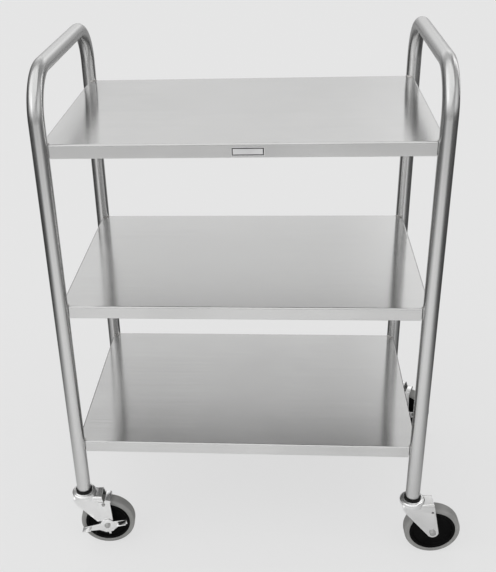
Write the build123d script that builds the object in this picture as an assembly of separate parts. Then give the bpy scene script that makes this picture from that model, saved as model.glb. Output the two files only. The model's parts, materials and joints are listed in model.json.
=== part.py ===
from build123d import *
import math
import os

# Frame of the cart: X runs along the long side, Y from front to back, Z up.
# The origin lies on the floor, midway between the four legs. All lengths are in millimetres.

# Layout of the legs, shelves and handles
leg_spacing_x = 609.6
leg_spacing_y = 393.7
leg_foot_length = 108.95
shelf_pitch = 279.4
handle_rise = 104.8

# Bent tube
tube_diameter = 25.4
tube_wall = 1.65
handle_bend_radius = 70.0

# Shelf pan
shelf_sheet = 1.2
apron_height = 22.5
apron_bend_radius = 3.0
hem_width = 12.0
notch_gap = 1.0
weld_rise = 1.8
weld_edge_margin = 0.4

# Bare plate on the front edge of the top shelf
nameplate_length = 50.0
nameplate_height = 13.5
nameplate_thickness = 0.8
nameplate_corner_radius = 1.5
nameplate_offset_x = 12.0

# Wheel
wheel_diameter = 101.6
tread_width = 23.8
tyre_thickness = 8.8
tyre_shoulder_radius = 4.5
rim_thickness = 6.0
rim_side_step = 0.8
web_thickness = 13.0
hub_radius = 11.0
hub_side_clearance = 0.7
core_edge_radius = 1.2

# Axle
axle_radius = 3.175
sleeve_wall = 1.6
bolt_hole_clearance = 0.1
running_clearance = 0.08
bolt_head_radius = 5.4
bolt_head_height = 3.0
bolt_head_edge = 0.6
nut_across_flats = 11.1
nut_height = 5.6
bolt_end_overhang = 2.4

# Swivel bearing
flange_radius = 15.1
flange_thickness = 4.5
race_radius = 22.5
race_shoulder_radius = 18.6
race_flat_radius = 15.4
race_sheet = 2.0
race_skirt_share = 0.8
race_shoulder_drop = 1.1
race_skirt_height = 3.9
race_skirt_gap = 0.6
ball_radius = 2.05
ball_clearance = 0.2
ball_circle_radius = 17.1
ball_count = 24
stem_radius = 5.5
pin_fit = 0.05
rivet_head_radius = 8.0
rivet_head_height = 2.6
lower_race_radius = 11.5
lower_race_height = 2.6
lower_race_gap = 0.3
lower_race_edge = 0.8

# Expanding insert in the tube end
expander_length = 38.0
expander_wall_clearance = 0.15
expander_nut_radius = 9.0
expander_nut_height = 8.0
stem_end_overhang = 4.0
stem_end_chamfer = 1.0

# Fork
caster_lead = 40.0
fork_gap = 29.2
fork_sheet = 2.5
fork_bend_radius = 6.0
fork_inner_bend_radius = 3.5
crown_wheel_gap = 10.9
crown_length = 38.0
crown_disc_radius = 21.8
crown_disc_depth = 6.0
fork_front_reach = 18.5
fork_front_drop = 8.0
fork_waist_reach = 13.0
fork_waist_drop = 17.5
fork_boss_radius = 10.3
guide_hole_x = 36.0
guide_hole_drop = 16.0
open_guide_hole_radius = 2.4

# Brake, on two of the casters
braked_crown_length = 33.5
brake_gap = 0.3
slide_sheet = 1.6
slide_left = 26.5
slide_right_top = 48.5
slide_right_bottom = 51.0
slide_top_drop = 6.0
slide_step_drop = 11.4
slide_left_bottom_rise = 15.2
slide_right_bottom_rise = 11.2
slide_boss_radius = 8.6
slide_travel = 0.9
slide_corner_radius = 2.0
shoe_length = 11.6
shoe_edge_clearance = 2.4
shoe_top_drop = 7.6
shoe_back_reach = 12.0
shoe_edge_radius = 2.0
rivet_shank_radius = 1.9
rivet_cap_radius = 3.0
rivet_cap_height = 1.4
lever_sheet = 2.0
lever_tilt = 11.7
pedal_length = 17.0
pedal_depth = 12.0
lever_low_reach = 47.0
lever_high_reach = 38.0
lever_tip_top = 4.5
lever_tip_bottom = 5.0
lever_arm_half_height = 6.4
lever_shoulder_x = 13.0
lever_hub_half_width = 6.5
lever_hub_top = 12.5
lever_hub_bottom = 16.0
lever_arm_root_x = 18.0
lever_arm_root_bottom = 8.0
lever_nub_half_width = 2.2
lever_nub_bottom = 21.0
lever_edge_radius = 0.5

# How far a cut runs past the faces that it opens
overrun = 1.0

# Each caster: side signs of its leg, the way its wheel trails, and whether it has a brake
casters = {
    "front_left": {"x_side": -1, "y_side": -1, "trail_angle": 4.0, "braked": True},
    "front_right": {"x_side": 1, "y_side": -1, "trail_angle": 2.0, "braked": False},
    "rear_left": {"x_side": -1, "y_side": 1, "trail_angle": -6.0, "braked": False},
    "rear_right": {"x_side": 1, "y_side": 1, "trail_angle": -20.0, "braked": True},
}

# Sizes worked out from the ones above, from the floor upward
tube_radius = tube_diameter / 2
wheel_radius = wheel_diameter / 2
crown_underside = wheel_diameter + crown_wheel_gap
crown_height = crown_underside + fork_sheet
race_bottom = crown_height + 2 * (ball_radius + ball_clearance)
race_top = race_bottom + race_sheet
stem_seat_height = race_top + flange_thickness
bottom_shelf_height = stem_seat_height + leg_foot_length
shelf_heights = {
    "bottom": bottom_shelf_height,
    "middle": bottom_shelf_height + shelf_pitch,
    "top": bottom_shelf_height + 2 * shelf_pitch,
}
handle_bar_height = shelf_heights["top"] + handle_rise
core_radius = wheel_radius - tyre_thickness
sleeve_radius = axle_radius + sleeve_wall
fork_width = fork_gap + 2 * fork_sheet
fork_face = fork_width / 2
guide_hole_height = crown_height - guide_hole_drop
lower_race_top = crown_underside - lower_race_gap
rivet_head_top = lower_race_top - lower_race_height
slide_face = fork_face + brake_gap + slide_sheet
lever_face = slide_face + brake_gap + lever_sheet
bottom_center = (Align.CENTER, Align.CENTER, Align.MIN)
top_center = (Align.CENTER, Align.CENTER, Align.MAX)


def end_frame(x_side):
    """Bent tube of one end: two legs joined by the handle bar."""
    x = x_side * leg_spacing_x / 2
    y = leg_spacing_y / 2
    corners = [
        (x, -y, stem_seat_height),
        (x, -y, handle_bar_height),
        (x, y, handle_bar_height),
        (x, y, stem_seat_height),
    ]
    path = FilletPolyline(*corners, radius=handle_bend_radius)
    section = Circle(tube_radius) - Circle(tube_radius - tube_wall)
    return sweep(Pos(*corners[0]) * section, path=path)


def leg_places():
    """Plan position of each leg's axis."""
    return [(sx * leg_spacing_x / 2, sy * leg_spacing_y / 2) for sx in (-1, 1) for sy in (-1, 1)]


def shelf(height):
    """Pan that opens downward, with hemmed edges and a notch round each leg."""
    pan = Box(leg_spacing_x, leg_spacing_y, apron_height, align=top_center)
    pan = fillet(pan.faces().sort_by(Axis.Z)[-1].edges(), apron_bend_radius)
    hollow = Box(
        leg_spacing_x - 2 * shelf_sheet,
        leg_spacing_y - 2 * shelf_sheet,
        apron_height - 2 * shelf_sheet,
        align=top_center,
    )
    hollow = fillet(hollow.faces().sort_by(Axis.Z)[-1].edges(), apron_bend_radius - shelf_sheet)
    mouth = Box(
        leg_spacing_x - 2 * hem_width,
        leg_spacing_y - 2 * hem_width,
        apron_height - shelf_sheet,
        align=top_center,
    )
    pan -= Pos(0, 0, -shelf_sheet) * hollow
    pan -= Pos(0, 0, -2 * shelf_sheet) * mouth
    notch = Cylinder(tube_radius + notch_gap, 2 * apron_height + overrun)
    for x, y in leg_places():
        pan -= Pos(x, y, 0) * notch
    return Pos(0, 0, height) * pan


def corner_weld(x, y, height):
    """Weld that fills the notch's gap between one leg and the sheet, and rises along the leg."""
    inset = apron_bend_radius + weld_edge_margin
    edge_angle = math.degrees(math.asin(inset / tube_radius))
    weld_arc = 90 - 2 * edge_angle
    outer = tube_radius + notch_gap
    outline = Polyline(
        (tube_radius, -shelf_sheet),
        (outer, -shelf_sheet),
        (outer, 0),
        (tube_radius, weld_rise),
        close=True,
    )
    bead = revolve(Plane.XZ * make_face(outline), Axis.Z, weld_arc)
    inward = math.degrees(math.atan2(-y, -x)) // 90 * 90
    return Pos(x, y, height) * Rot(0, 0, inward + edge_angle) * bead


def corner_welds():
    """All twelve welds, as separate solids."""
    return Compound([corner_weld(x, y, z) for z in shelf_heights.values() for x, y in leg_places()])


def nameplate():
    """Bare plate on the top shelf's front edge."""
    outline = RectangleRounded(nameplate_length, nameplate_height, nameplate_corner_radius)
    plate = extrude(Plane.XZ * outline, nameplate_thickness)
    middle = shelf_heights["top"] - apron_bend_radius - (apron_height - apron_bend_radius) / 2
    return Pos(nameplate_offset_x, -leg_spacing_y / 2, middle) * plate


def ring_solid(points):
    """Solid turned about the Z axis from an outline of (radius, height) points."""
    return revolve(Plane.XZ * make_face(Polyline(*points, close=True)), Axis.Z)


def stem():
    """Kingpin with its rivet head below and a plain end inside the tube."""
    top = stem_seat_height + expander_length + expander_nut_height + stem_end_overhang
    shank = Pos(0, 0, rivet_head_top) * Cylinder(stem_radius, top - rivet_head_top, align=bottom_center)
    shank = chamfer(shank.edges().sort_by(Axis.Z)[-1], stem_end_chamfer)
    head = Pos(0, 0, rivet_head_top) * Cylinder(rivet_head_radius, rivet_head_height, align=top_center)
    head = fillet(head.edges().sort_by(Axis.Z)[0], rivet_head_height / 2)
    return shank + head


def expander():
    """Rubber sleeve in the tube with a flange that the tube end stands on."""
    sleeve_outer = tube_radius - tube_wall - expander_wall_clearance
    bore = stem_radius + pin_fit
    return ring_solid([
        (bore, race_top),
        (flange_radius, race_top),
        (flange_radius, stem_seat_height),
        (sleeve_outer, stem_seat_height),
        (sleeve_outer, stem_seat_height + expander_length),
        (bore, stem_seat_height + expander_length),
    ])


def expander_nut():
    """Nut that squeezes the rubber sleeve, above it in the tube."""
    nut = extrude(RegularPolygon(expander_nut_radius, 6), expander_nut_height)
    nut -= Cylinder(stem_radius + pin_fit, 3 * expander_nut_height)
    return Pos(0, 0, stem_seat_height + expander_length) * nut


def upper_race():
    """Dished cup over the balls."""
    bore = stem_radius + pin_fit
    skirt_bottom = crown_height + race_skirt_gap
    skirt_top = skirt_bottom + race_skirt_height
    skirt_inner = race_radius - race_sheet * race_skirt_share
    return ring_solid([
        (bore, race_top),
        (race_flat_radius, race_top),
        (race_shoulder_radius, race_top - race_shoulder_drop / 2),
        (race_radius, skirt_top - race_shoulder_drop),
        (race_radius, skirt_bottom),
        (skirt_inner, skirt_bottom),
        (skirt_inner, skirt_top - 2 * race_shoulder_drop),
        (race_shoulder_radius, race_bottom),
        (bore, race_bottom),
    ])


def ball_ring():
    """Balls between the upper race and the fork's crown, as separate solids."""
    height = crown_height + ball_clearance + ball_radius
    ball = Pos(ball_circle_radius, 0, height) * Sphere(ball_radius)
    return Compound([Rot(0, 0, 360 * k / ball_count) * ball for k in range(ball_count)])


def lower_race():
    """Retaining washer between the crown and the rivet head."""
    bore = stem_radius + pin_fit
    return ring_solid([
        (bore, rivet_head_top),
        (lower_race_radius - 2 * lower_race_edge, rivet_head_top),
        (lower_race_radius, rivet_head_top + lower_race_edge),
        (lower_race_radius, lower_race_top),
        (bore, lower_race_top),
    ])


def tangent_point(point, centre, radius, side):
    """Point where a line from a point touches a circle; side is 1 or -1."""
    dx = centre[0] - point[0]
    dy = centre[1] - point[1]
    distance = math.hypot(dx, dy)
    angle = math.atan2(dy, dx) + side * math.asin(radius / distance)
    reach = math.sqrt(distance ** 2 - radius ** 2)
    return (point[0] + reach * math.cos(angle), point[1] + reach * math.sin(angle))


def fork_outline(length):
    """Side view of the fork: a wide top that narrows to a round boss at the axle."""
    axle = (caster_lead, wheel_radius)
    waist = (-fork_waist_reach, crown_height - fork_waist_drop)
    rear = (length, crown_height)
    outline = Polyline(
        (-fork_front_reach, crown_height),
        (-fork_front_reach, crown_height - fork_front_drop),
        waist,
        tangent_point(waist, axle, fork_boss_radius, -1),
        axle,
        tangent_point(rear, axle, fork_boss_radius, 1),
        rear,
        close=True,
    )
    return make_face(outline) + Pos(*axle) * Circle(fork_boss_radius)


def fork_channel():
    """Bent sheet in the form of an upside-down channel, before its sides are trimmed."""
    low = wheel_radius - fork_boss_radius - overrun
    length = fork_front_reach + caster_lead + fork_boss_radius + 2 * overrun
    left = (Align.MIN, Align.CENTER, Align.MAX)
    outer = Box(length, fork_width, crown_height - low, align=left)
    outer = fillet(outer.faces().sort_by(Axis.Z)[-1].edges().filter_by(Axis.X), fork_bend_radius)
    inner = Box(length, fork_gap, crown_height - low, align=left)
    inner = fillet(inner.faces().sort_by(Axis.Z)[-1].edges().filter_by(Axis.X), fork_inner_bend_radius)
    channel = outer - Pos(0, 0, -fork_sheet) * inner
    return Pos(-fork_front_reach - overrun, 0, crown_height) * channel


def crown_lip():
    """Round lip of the crown, which stands out past the two legs."""
    lip = Pos(0, 0, crown_height) * Cylinder(crown_disc_radius, crown_disc_depth, align=top_center)
    cavity = Box(3 * crown_disc_radius, fork_gap, crown_disc_depth, align=top_center)
    return lip - Pos(0, 0, crown_underside) * cavity


def cross_hole(radius, x, height):
    """Cutter for a hole through the fork from side to side."""
    return Pos(x, 0, height) * Rot(90, 0, 0) * Cylinder(radius, fork_width + 2 * lever_face)


def fork(braked):
    """Crown and two legs in one piece, with the kingpin, axle and guide holes."""
    length = braked_crown_length if braked else crown_length
    side = extrude(Plane.XZ * fork_outline(length), fork_width, both=True)
    body = fork_channel() & side
    body += crown_lip()
    body -= Pos(0, 0, crown_height) * Cylinder(stem_radius + running_clearance, 3 * crown_disc_depth)
    body -= cross_hole(axle_radius + bolt_hole_clearance, caster_lead, wheel_radius)
    guide = Pos(guide_hole_x, 0, guide_hole_height) * Rot(90, 0, 0)
    radius = rivet_shank_radius + pin_fit if braked else open_guide_hole_radius
    body -= guide * Cylinder(radius, fork_width, align=bottom_center)
    return body


def axle_axis():
    """Place of the axle, with the local Z axis pointing out of the fork's front face."""
    return Pos(caster_lead, 0, wheel_radius) * Rot(90, 0, 0)


def axle_bolt(braked):
    """Bolt through the fork, with its head at the front."""
    seat = lever_face if braked else fork_face
    end = fork_face + nut_height + bolt_end_overhang
    shank = Pos(0, 0, -end) * Cylinder(axle_radius, end + seat, align=bottom_center)
    head = Pos(0, 0, seat) * Cylinder(bolt_head_radius, bolt_head_height, align=bottom_center)
    head = fillet(head.edges().sort_by(Axis.Z)[-1], bolt_head_height / 2)
    return axle_axis() * (shank + head)


def axle_nut():
    """Hexagon nut on the back face of the fork."""
    nut = extrude(RegularPolygon(nut_across_flats / 2, 6, major_radius=False), nut_height)
    nut -= Cylinder(axle_radius + pin_fit, 3 * nut_height)
    return axle_axis() * Pos(0, 0, -fork_face - nut_height) * nut


def axle_sleeve():
    """Tube between the fork's legs that the wheel turns on."""
    sleeve = Cylinder(sleeve_radius, fork_gap) - Cylinder(axle_radius + bolt_hole_clearance, 2 * fork_gap)
    return axle_axis() * sleeve


def turned_wheel_part(points):
    """Solid turned about the axle from (radius, side) points."""
    return axle_axis() * ring_solid(points)


def wheel_core():
    """Black wheel centre: hub, web and rim."""
    bore = sleeve_radius + running_clearance
    hub_side = fork_gap / 2 - hub_side_clearance
    rim_side = tread_width / 2 - rim_side_step
    web_side = web_thickness / 2
    rim_inner = core_radius - rim_thickness
    half = [
        (bore, hub_side),
        (hub_radius, hub_side),
        (hub_radius, web_side),
        (rim_inner, web_side),
        (rim_inner, rim_side),
        (core_radius, rim_side),
    ]
    mirrored = [(r, -side) for r, side in reversed(half)]
    return turned_wheel_part(half + mirrored)


def tyre():
    """Grey tread with rounded shoulders."""
    width = tread_width
    section = Pos(core_radius + tyre_thickness / 2, 0) * Rectangle(tyre_thickness, width)
    outer = section.vertices().sort_by(Axis.X)[-2:]
    section = fillet(outer, tyre_shoulder_radius)
    return axle_axis() * revolve(Plane.XZ * section, Axis.Z)


def slide_outline():
    """Side view of the brake slide: a stepped plate that narrows to a slotted boss at the axle."""
    axle = (caster_lead, wheel_radius)
    top = crown_height - slide_top_drop
    step = crown_height - slide_step_drop
    step_x = guide_hole_x + shoe_edge_clearance
    left_bottom = (slide_left, wheel_radius + slide_left_bottom_rise)
    right_bottom = (slide_right_bottom, wheel_radius + slide_right_bottom_rise)
    outline = Polyline(
        (step_x, top),
        (step_x, step),
        (slide_left, step),
        left_bottom,
        tangent_point(left_bottom, axle, slide_boss_radius, -1),
        axle,
        tangent_point(right_bottom, axle, slide_boss_radius, 1),
        right_bottom,
        (slide_right_top, top),
        close=True,
    )
    plate = make_face(outline)
    plate = fillet(plate.vertices().sort_by(Axis.Y)[-2:], slide_corner_radius)
    return plate + Pos(*axle) * Circle(slide_boss_radius)


def slot(radius, x, height):
    """Upright slot that lets the slide travel past a pin."""
    clear = radius + bolt_hole_clearance
    length = 2 * clear + 2 * slide_travel
    return Pos(x, height) * Rot(0, 0, 90) * SlotOverall(length, 2 * clear)


def brake_slide():
    """Plate that carries the shoe, guided by the axle bolt and a rivet."""
    plate = slide_outline()
    plate -= slot(axle_radius, caster_lead, wheel_radius)
    plate -= slot(rivet_shank_radius, guide_hole_x, guide_hole_height)
    return Plane.XZ.offset(fork_face + brake_gap) * extrude(plate, slide_sheet)


def brake_shoe():
    """Tab on the slide that is pressed on the tread."""
    left = guide_hole_x + shoe_edge_clearance
    low = wheel_diameter + brake_gap
    front = -(fork_face + brake_gap)
    height = crown_height - shoe_top_drop - low
    bar = Box(shoe_length, shoe_back_reach - front, height, align=(Align.MIN, Align.MIN, Align.MIN))
    bar = fillet(bar.faces().sort_by(Axis.Z)[-1].edges().filter_by(Axis.Y), shoe_edge_radius)
    return Pos(left, front, low) * bar


def guide_rivet():
    """Rivet fixed in the fork's leg that guides the slide."""
    seat = slide_face + brake_gap
    shank = Pos(0, 0, fork_gap / 2) * Cylinder(rivet_shank_radius, seat - fork_gap / 2, align=bottom_center)
    cap = Pos(0, 0, seat) * Cylinder(rivet_cap_radius, rivet_cap_height, align=bottom_center)
    cap = fillet(cap.edges().sort_by(Axis.Z)[-1], rivet_cap_height / 2)
    return Pos(guide_hole_x, 0, guide_hole_height) * Rot(90, 0, 0) * (shank + cap)


def lever_outline():
    """Front view of the rocker, level, with the axle at the origin."""
    points = [
        (-lever_low_reach, lever_tip_top),
        (-lever_low_reach, -lever_tip_bottom),
        (-lever_arm_root_x, -lever_arm_root_bottom),
        (-lever_hub_half_width, -lever_hub_bottom),
        (-lever_nub_half_width, -lever_hub_bottom),
        (-lever_nub_half_width, -lever_nub_bottom),
        (lever_nub_half_width, -lever_nub_bottom),
        (lever_nub_half_width, -lever_hub_bottom),
        (lever_hub_half_width, -lever_hub_bottom),
        (lever_arm_root_x, -lever_arm_root_bottom),
        (lever_high_reach, -lever_tip_bottom),
        (lever_high_reach, lever_tip_top),
        (lever_shoulder_x, lever_arm_half_height),
        (lever_hub_half_width, lever_hub_top),
        (-lever_hub_half_width, lever_hub_top),
        (-lever_shoulder_x, lever_arm_half_height),
    ]
    return make_face(Polyline(*points, close=True))


def pedal(middle):
    """Tab bent outward along the top of one arm, about a point of the arm."""
    reach = pedal_depth + lever_sheet
    tab = Box(pedal_length, reach, lever_sheet, align=(Align.CENTER, Align.MAX, Align.MAX))
    return Pos(middle, 0, lever_tip_top) * tab


def brake_lever():
    """Rocker with two pedal tabs that turns on the axle bolt."""
    plate = extrude(Plane.XZ * lever_outline(), lever_sheet)
    lever = plate + pedal(pedal_length / 2 - lever_low_reach) + pedal(lever_high_reach - pedal_length / 2)
    lever -= Rot(90, 0, 0) * Cylinder(axle_radius + running_clearance, 3 * lever_sheet)
    tilted = Rot(0, -lever_tilt, 0) * lever
    return Pos(caster_lead, -(slide_face + brake_gap), wheel_radius) * tilted


def caster_location(spec):
    """Place of one caster: its stem's axis on the floor, turned the way it trails."""
    x = spec["x_side"] * leg_spacing_x / 2
    y = spec["y_side"] * leg_spacing_y / 2
    return Pos(x, y, 0) * Rot(0, 0, spec["trail_angle"])


def caster_parts(braked):
    """Pieces of one caster about its own stem axis, trailing along X."""
    pieces = {
        "expander": expander(),
        "upper_race": upper_race(),
        "ball_ring": ball_ring(),
        "lower_race": lower_race(),
        "fork": fork(braked),
        "axle_bolt": axle_bolt(braked),
        "axle_nut": axle_nut(),
        "axle_sleeve": axle_sleeve(),
        "wheel_core": wheel_core(),
        "tyre": tyre(),
    }
    if braked:
        pieces["brake_slide"] = brake_slide()
        pieces["brake_shoe"] = brake_shoe()
        pieces["brake_lever"] = brake_lever()
        pieces["guide_rivet"] = guide_rivet()
    return pieces


def build_nodes():
    """Every node of the cart by name."""
    nodes = {
        "left_end_frame": end_frame(-1),
        "right_end_frame": end_frame(1),
        "corner_welds": corner_welds(),
        "nameplate": nameplate(),
    }
    for level, height in shelf_heights.items():
        nodes[level + "_shelf"] = shelf(height)
    places = {name: caster_location(spec) for name, spec in casters.items()}
    nodes["caster_stems"] = Compound([place * stem() for place in places.values()])
    nodes["expander_nuts"] = Compound([place * expander_nut() for place in places.values()])
    parts_by_kind = {braked: caster_parts(braked) for braked in (True, False)}
    for name, spec in casters.items():
        for piece, shape in parts_by_kind[spec["braked"]].items():
            nodes[name + "_" + piece] = places[name] * shape
    return nodes


os.makedirs("parts", exist_ok=True)
for node, shape in build_nodes().items():
    export_step(shape, os.path.join("parts", node + ".step"))
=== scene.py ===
"""Utility cart: the finish of every piece, and a plain studio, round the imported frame.

All lengths are in metres. X runs along the long side of the shelves, Y from the front edge to
the back edge, and Z up from the floor.
"""

from __future__ import annotations

import json
import logging
import math
from collections.abc import Callable, Iterable, Sequence
from dataclasses import dataclass
from enum import Enum
from functools import cached_property

import bmesh
import bpy
from mathutils import Matrix, Vector

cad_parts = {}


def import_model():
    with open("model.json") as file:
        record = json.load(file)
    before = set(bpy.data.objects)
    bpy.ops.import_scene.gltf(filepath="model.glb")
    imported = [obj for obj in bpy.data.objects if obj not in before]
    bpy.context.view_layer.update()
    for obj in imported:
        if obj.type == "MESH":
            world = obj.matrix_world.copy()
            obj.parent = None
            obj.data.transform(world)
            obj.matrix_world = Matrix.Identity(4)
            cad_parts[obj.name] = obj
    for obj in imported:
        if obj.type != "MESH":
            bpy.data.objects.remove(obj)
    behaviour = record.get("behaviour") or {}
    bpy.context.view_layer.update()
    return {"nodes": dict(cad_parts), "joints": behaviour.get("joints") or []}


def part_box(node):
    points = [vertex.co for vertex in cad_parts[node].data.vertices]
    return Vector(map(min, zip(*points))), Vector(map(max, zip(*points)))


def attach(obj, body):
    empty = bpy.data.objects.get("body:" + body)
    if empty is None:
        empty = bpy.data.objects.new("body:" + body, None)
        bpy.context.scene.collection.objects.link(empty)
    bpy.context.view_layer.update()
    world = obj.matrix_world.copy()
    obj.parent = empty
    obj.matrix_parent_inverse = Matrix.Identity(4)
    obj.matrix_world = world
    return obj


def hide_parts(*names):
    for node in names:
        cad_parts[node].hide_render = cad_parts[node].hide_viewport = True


log = logging.getLogger("utility_cart")

MM = 0.001
GRAIN_MAP = "grain"

# Points nearer to each other than this are one point.
MERGE_DISTANCE = 0.002 * MM
# Faces that meet at less than the flat angle are one face, and an edge is sharp above the sharp angle.
FLAT_ANGLE = math.radians(0.5)
SHARP_ANGLE = math.radians(38.0)
# A face looks along an axis when that part of its normal is more than this.
FACING = 0.9

QUARTER_TURN = math.pi / 2.0
FULL_TURN = 2.0 * math.pi
ORIGIN = (0.0, 0.0, 0.0)
UPWARD = (0.0, 0.0, 1.0)

Triple = tuple[float, float, float]


# Mesh work


def faces_of(result: dict[str, list]) -> list[bmesh.types.BMFace]:
    """Faces at the far end of what an extrusion or a spin made.

    Args:
        result: What the operator returned.

    Returns:
        The faces in it.
    """
    geometry = result.get("geom") or result.get("geom_last") or []
    return [item for item in geometry if isinstance(item, bmesh.types.BMFace)]


def points_of(result: dict[str, list]) -> list[bmesh.types.BMVert]:
    """Points that an extrusion made.

    Args:
        result: What the operator returned.

    Returns:
        The points in it.
    """
    return [item for item in result["geom"] if isinstance(item, bmesh.types.BMVert)]


def merge_close(work: bmesh.types.BMesh) -> None:
    """Merges doubled points and turns every face outwards.

    Args:
        work: The mesh to clean.
    """
    bmesh.ops.remove_doubles(work, verts=work.verts[:], dist=MERGE_DISTANCE)
    bmesh.ops.recalc_face_normals(work, faces=work.faces[:])


def round_edges(
    work: bmesh.types.BMesh, edges: Sequence[bmesh.types.BMEdge], radius: float, segments: int
) -> None:
    """Rounds the given edges.

    Args:
        work: The mesh that holds the edges.
        edges: The edges to round.
        radius: How far the rounding starts from each edge.
        segments: Number of faces across the rounding.
    """
    if edges and radius > 0.0:
        bmesh.ops.bevel(
            work,
            geom=list(edges),
            offset=radius,
            offset_type="OFFSET",
            segments=segments,
            profile=0.5,
            affect="EDGES",
            clamp_overlap=True,
            material=-1,
        )


def sharp_edges(work: bmesh.types.BMesh, angle: float) -> list[bmesh.types.BMEdge]:
    """Edges between two faces that meet at more than an angle.

    Args:
        work: The mesh to look through.
        angle: Smallest angle between the faces' normals, in radians.

    Returns:
        The edges found.
    """
    return [e for e in work.edges if len(e.link_faces) == 2 and e.calc_face_angle(0.0) > angle]


def map_grain(work: bmesh.types.BMesh, along: Callable[[Vector, Vector], tuple[float, float]]) -> None:
    """Gives each face corner its place in the grain map, in metres.

    Args:
        work: The mesh to unwrap.
        along: Takes a corner's place and its face's normal and returns U and V.
    """
    layer = work.loops.layers.uv.new(GRAIN_MAP)
    for face in work.faces:
        for loop in face.loops:
            loop[layer].uv = along(loop.vert.co, face.normal)


def box_uv(place: Vector, normal: Vector) -> tuple[float, float]:
    """U and V of a point, seen along the axis nearest to its face's normal.

    Args:
        place: The corner's place.
        normal: The face's normal.

    Returns:
        U along X where the face shows X, and otherwise along Y, and V along the other axis.
    """
    side = max(range(3), key=lambda axis: abs(normal[axis]))
    if side == 0:
        return place.y, place.z
    if side == 1:
        return place.x, place.z
    return place.x, place.y


@dataclass(frozen=True)
class Fitting:
    """Where a modelled piece belongs.

    Attributes:
        body: The moving body that carries the piece.
        slot: The record's material slot; not used.
        nodes: The frame's nodes that the piece stands for.
    """

    body: str
    slot: str
    nodes: tuple[str, ...]


def finished_object(
    name: str, work: bmesh.types.BMesh, finish: bpy.types.Material, fitting: Fitting
) -> bpy.types.Object:
    """Makes an object of a finished mesh, dresses it and mounts it on its body.

    Args:
        name: The piece's name.
        work: Its mesh, in the frame's own place; it is freed here.
        finish: Its material.
        fitting: Its body, slot and nodes.

    Returns:
        The new object.
    """
    mesh = bpy.data.meshes.new(name)
    work.to_mesh(mesh)
    work.free()
    mesh.shade_smooth()
    mesh.set_sharp_from_angle(angle=SHARP_ANGLE)
    mesh.materials.append(finish)
    piece = bpy.data.objects.new(name, mesh)
    bpy.context.scene.collection.objects.link(piece)
    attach(piece, fitting.body)
    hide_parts(*fitting.nodes)
    log.info("%s: %d faces, rides on %s", name, len(mesh.polygons), fitting.body)
    return piece


def settle_modifiers(piece: bpy.types.Object) -> None:
    """Applies a piece's modifiers to its own mesh.

    Args:
        piece: The object to settle.
    """
    graph = bpy.context.evaluated_depsgraph_get()
    settled = bpy.data.meshes.new_from_object(piece.evaluated_get(graph), depsgraph=graph)
    old = piece.data
    piece.modifiers.clear()
    piece.data = settled
    settled.name = piece.name
    bpy.data.meshes.remove(old)


def eased_copy(node: str, finish: bpy.types.Material, fitting: Fitting, edge: float) -> bpy.types.Object:
    """Copy of a frame node with its triangles merged and its sharp edges eased.

    Args:
        node: The frame's node.
        finish: The copy's material.
        fitting: Its body, slot and nodes.
        edge: Width of the eased edges.

    Returns:
        The new object, which stands for the node.
    """
    faces_across_edge = 2
    work = bmesh.new()
    work.from_mesh(bpy.data.objects[node].data)
    merge_close(work)
    bmesh.ops.dissolve_limit(
        work,
        angle_limit=FLAT_ANGLE,
        use_dissolve_boundaries=False,
        verts=work.verts[:],
        edges=work.edges[:],
    )
    round_edges(work, sharp_edges(work, SHARP_ANGLE), edge, faces_across_edge)
    map_grain(work, box_uv)
    return finished_object(node + "_shown", work, finish, fitting)


@dataclass(frozen=True)
class Corner:
    """One corner of a turned profile.

    Attributes:
        radius: Distance from the axis.
        height: Place along the axis.
        rounding: Radius of the rounded corner, or zero for a crisp one.
    """

    radius: float
    height: float
    rounding: float = 0.0


@dataclass(frozen=True)
class TurnedRing:
    """A closed ring turned about an axis from a profile of corners.

    Attributes:
        corners: The profile, which stays clear of the axis.
        steps: Faces round a full turn.
        rounding_steps: Faces across each rounded corner.
    """

    corners: tuple[Corner, ...]
    steps: int = 72
    rounding_steps: int = 4

    def build(self) -> bmesh.types.BMesh:
        """Returns the turned mesh about the Z axis, with its corners rounded."""
        work = bmesh.new()
        points = [work.verts.new((c.radius, 0.0, c.height)) for c in self.corners]
        lines = [work.edges.new((a, b)) for a, b in zip(points, points[1:] + points[:1])]
        bmesh.ops.spin(
            work,
            geom=points + lines,
            cent=ORIGIN,
            axis=UPWARD,
            dvec=ORIGIN,
            angle=FULL_TURN,
            steps=self.steps,
            use_merge=True,
        )
        merge_close(work)
        for corner in self.corners:
            round_edges(work, self.ring_at(work, corner), corner.rounding, self.rounding_steps)
        merge_close(work)
        return work

    @staticmethod
    def ring_at(work: bmesh.types.BMesh, corner: Corner) -> list[bmesh.types.BMEdge]:
        """Edges of the ring that one corner drew.

        Args:
            work: The turned mesh.
            corner: The corner of the profile.

        Returns:
            The ring's edges.
        """
        near = 2.0 * MERGE_DISTANCE

        def on_ring(vertex: bmesh.types.BMVert) -> bool:
            away = math.hypot(vertex.co.x, vertex.co.y)
            return abs(away - corner.radius) < near and abs(vertex.co.z - corner.height) < near

        return [e for e in work.edges if on_ring(e.verts[0]) and on_ring(e.verts[1])]


# Finishes


class Socket(Enum):
    """Kinds of socket that the shared effects have."""

    VALUE = "NodeSocketFloat"
    VECTOR = "NodeSocketVector"


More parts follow.
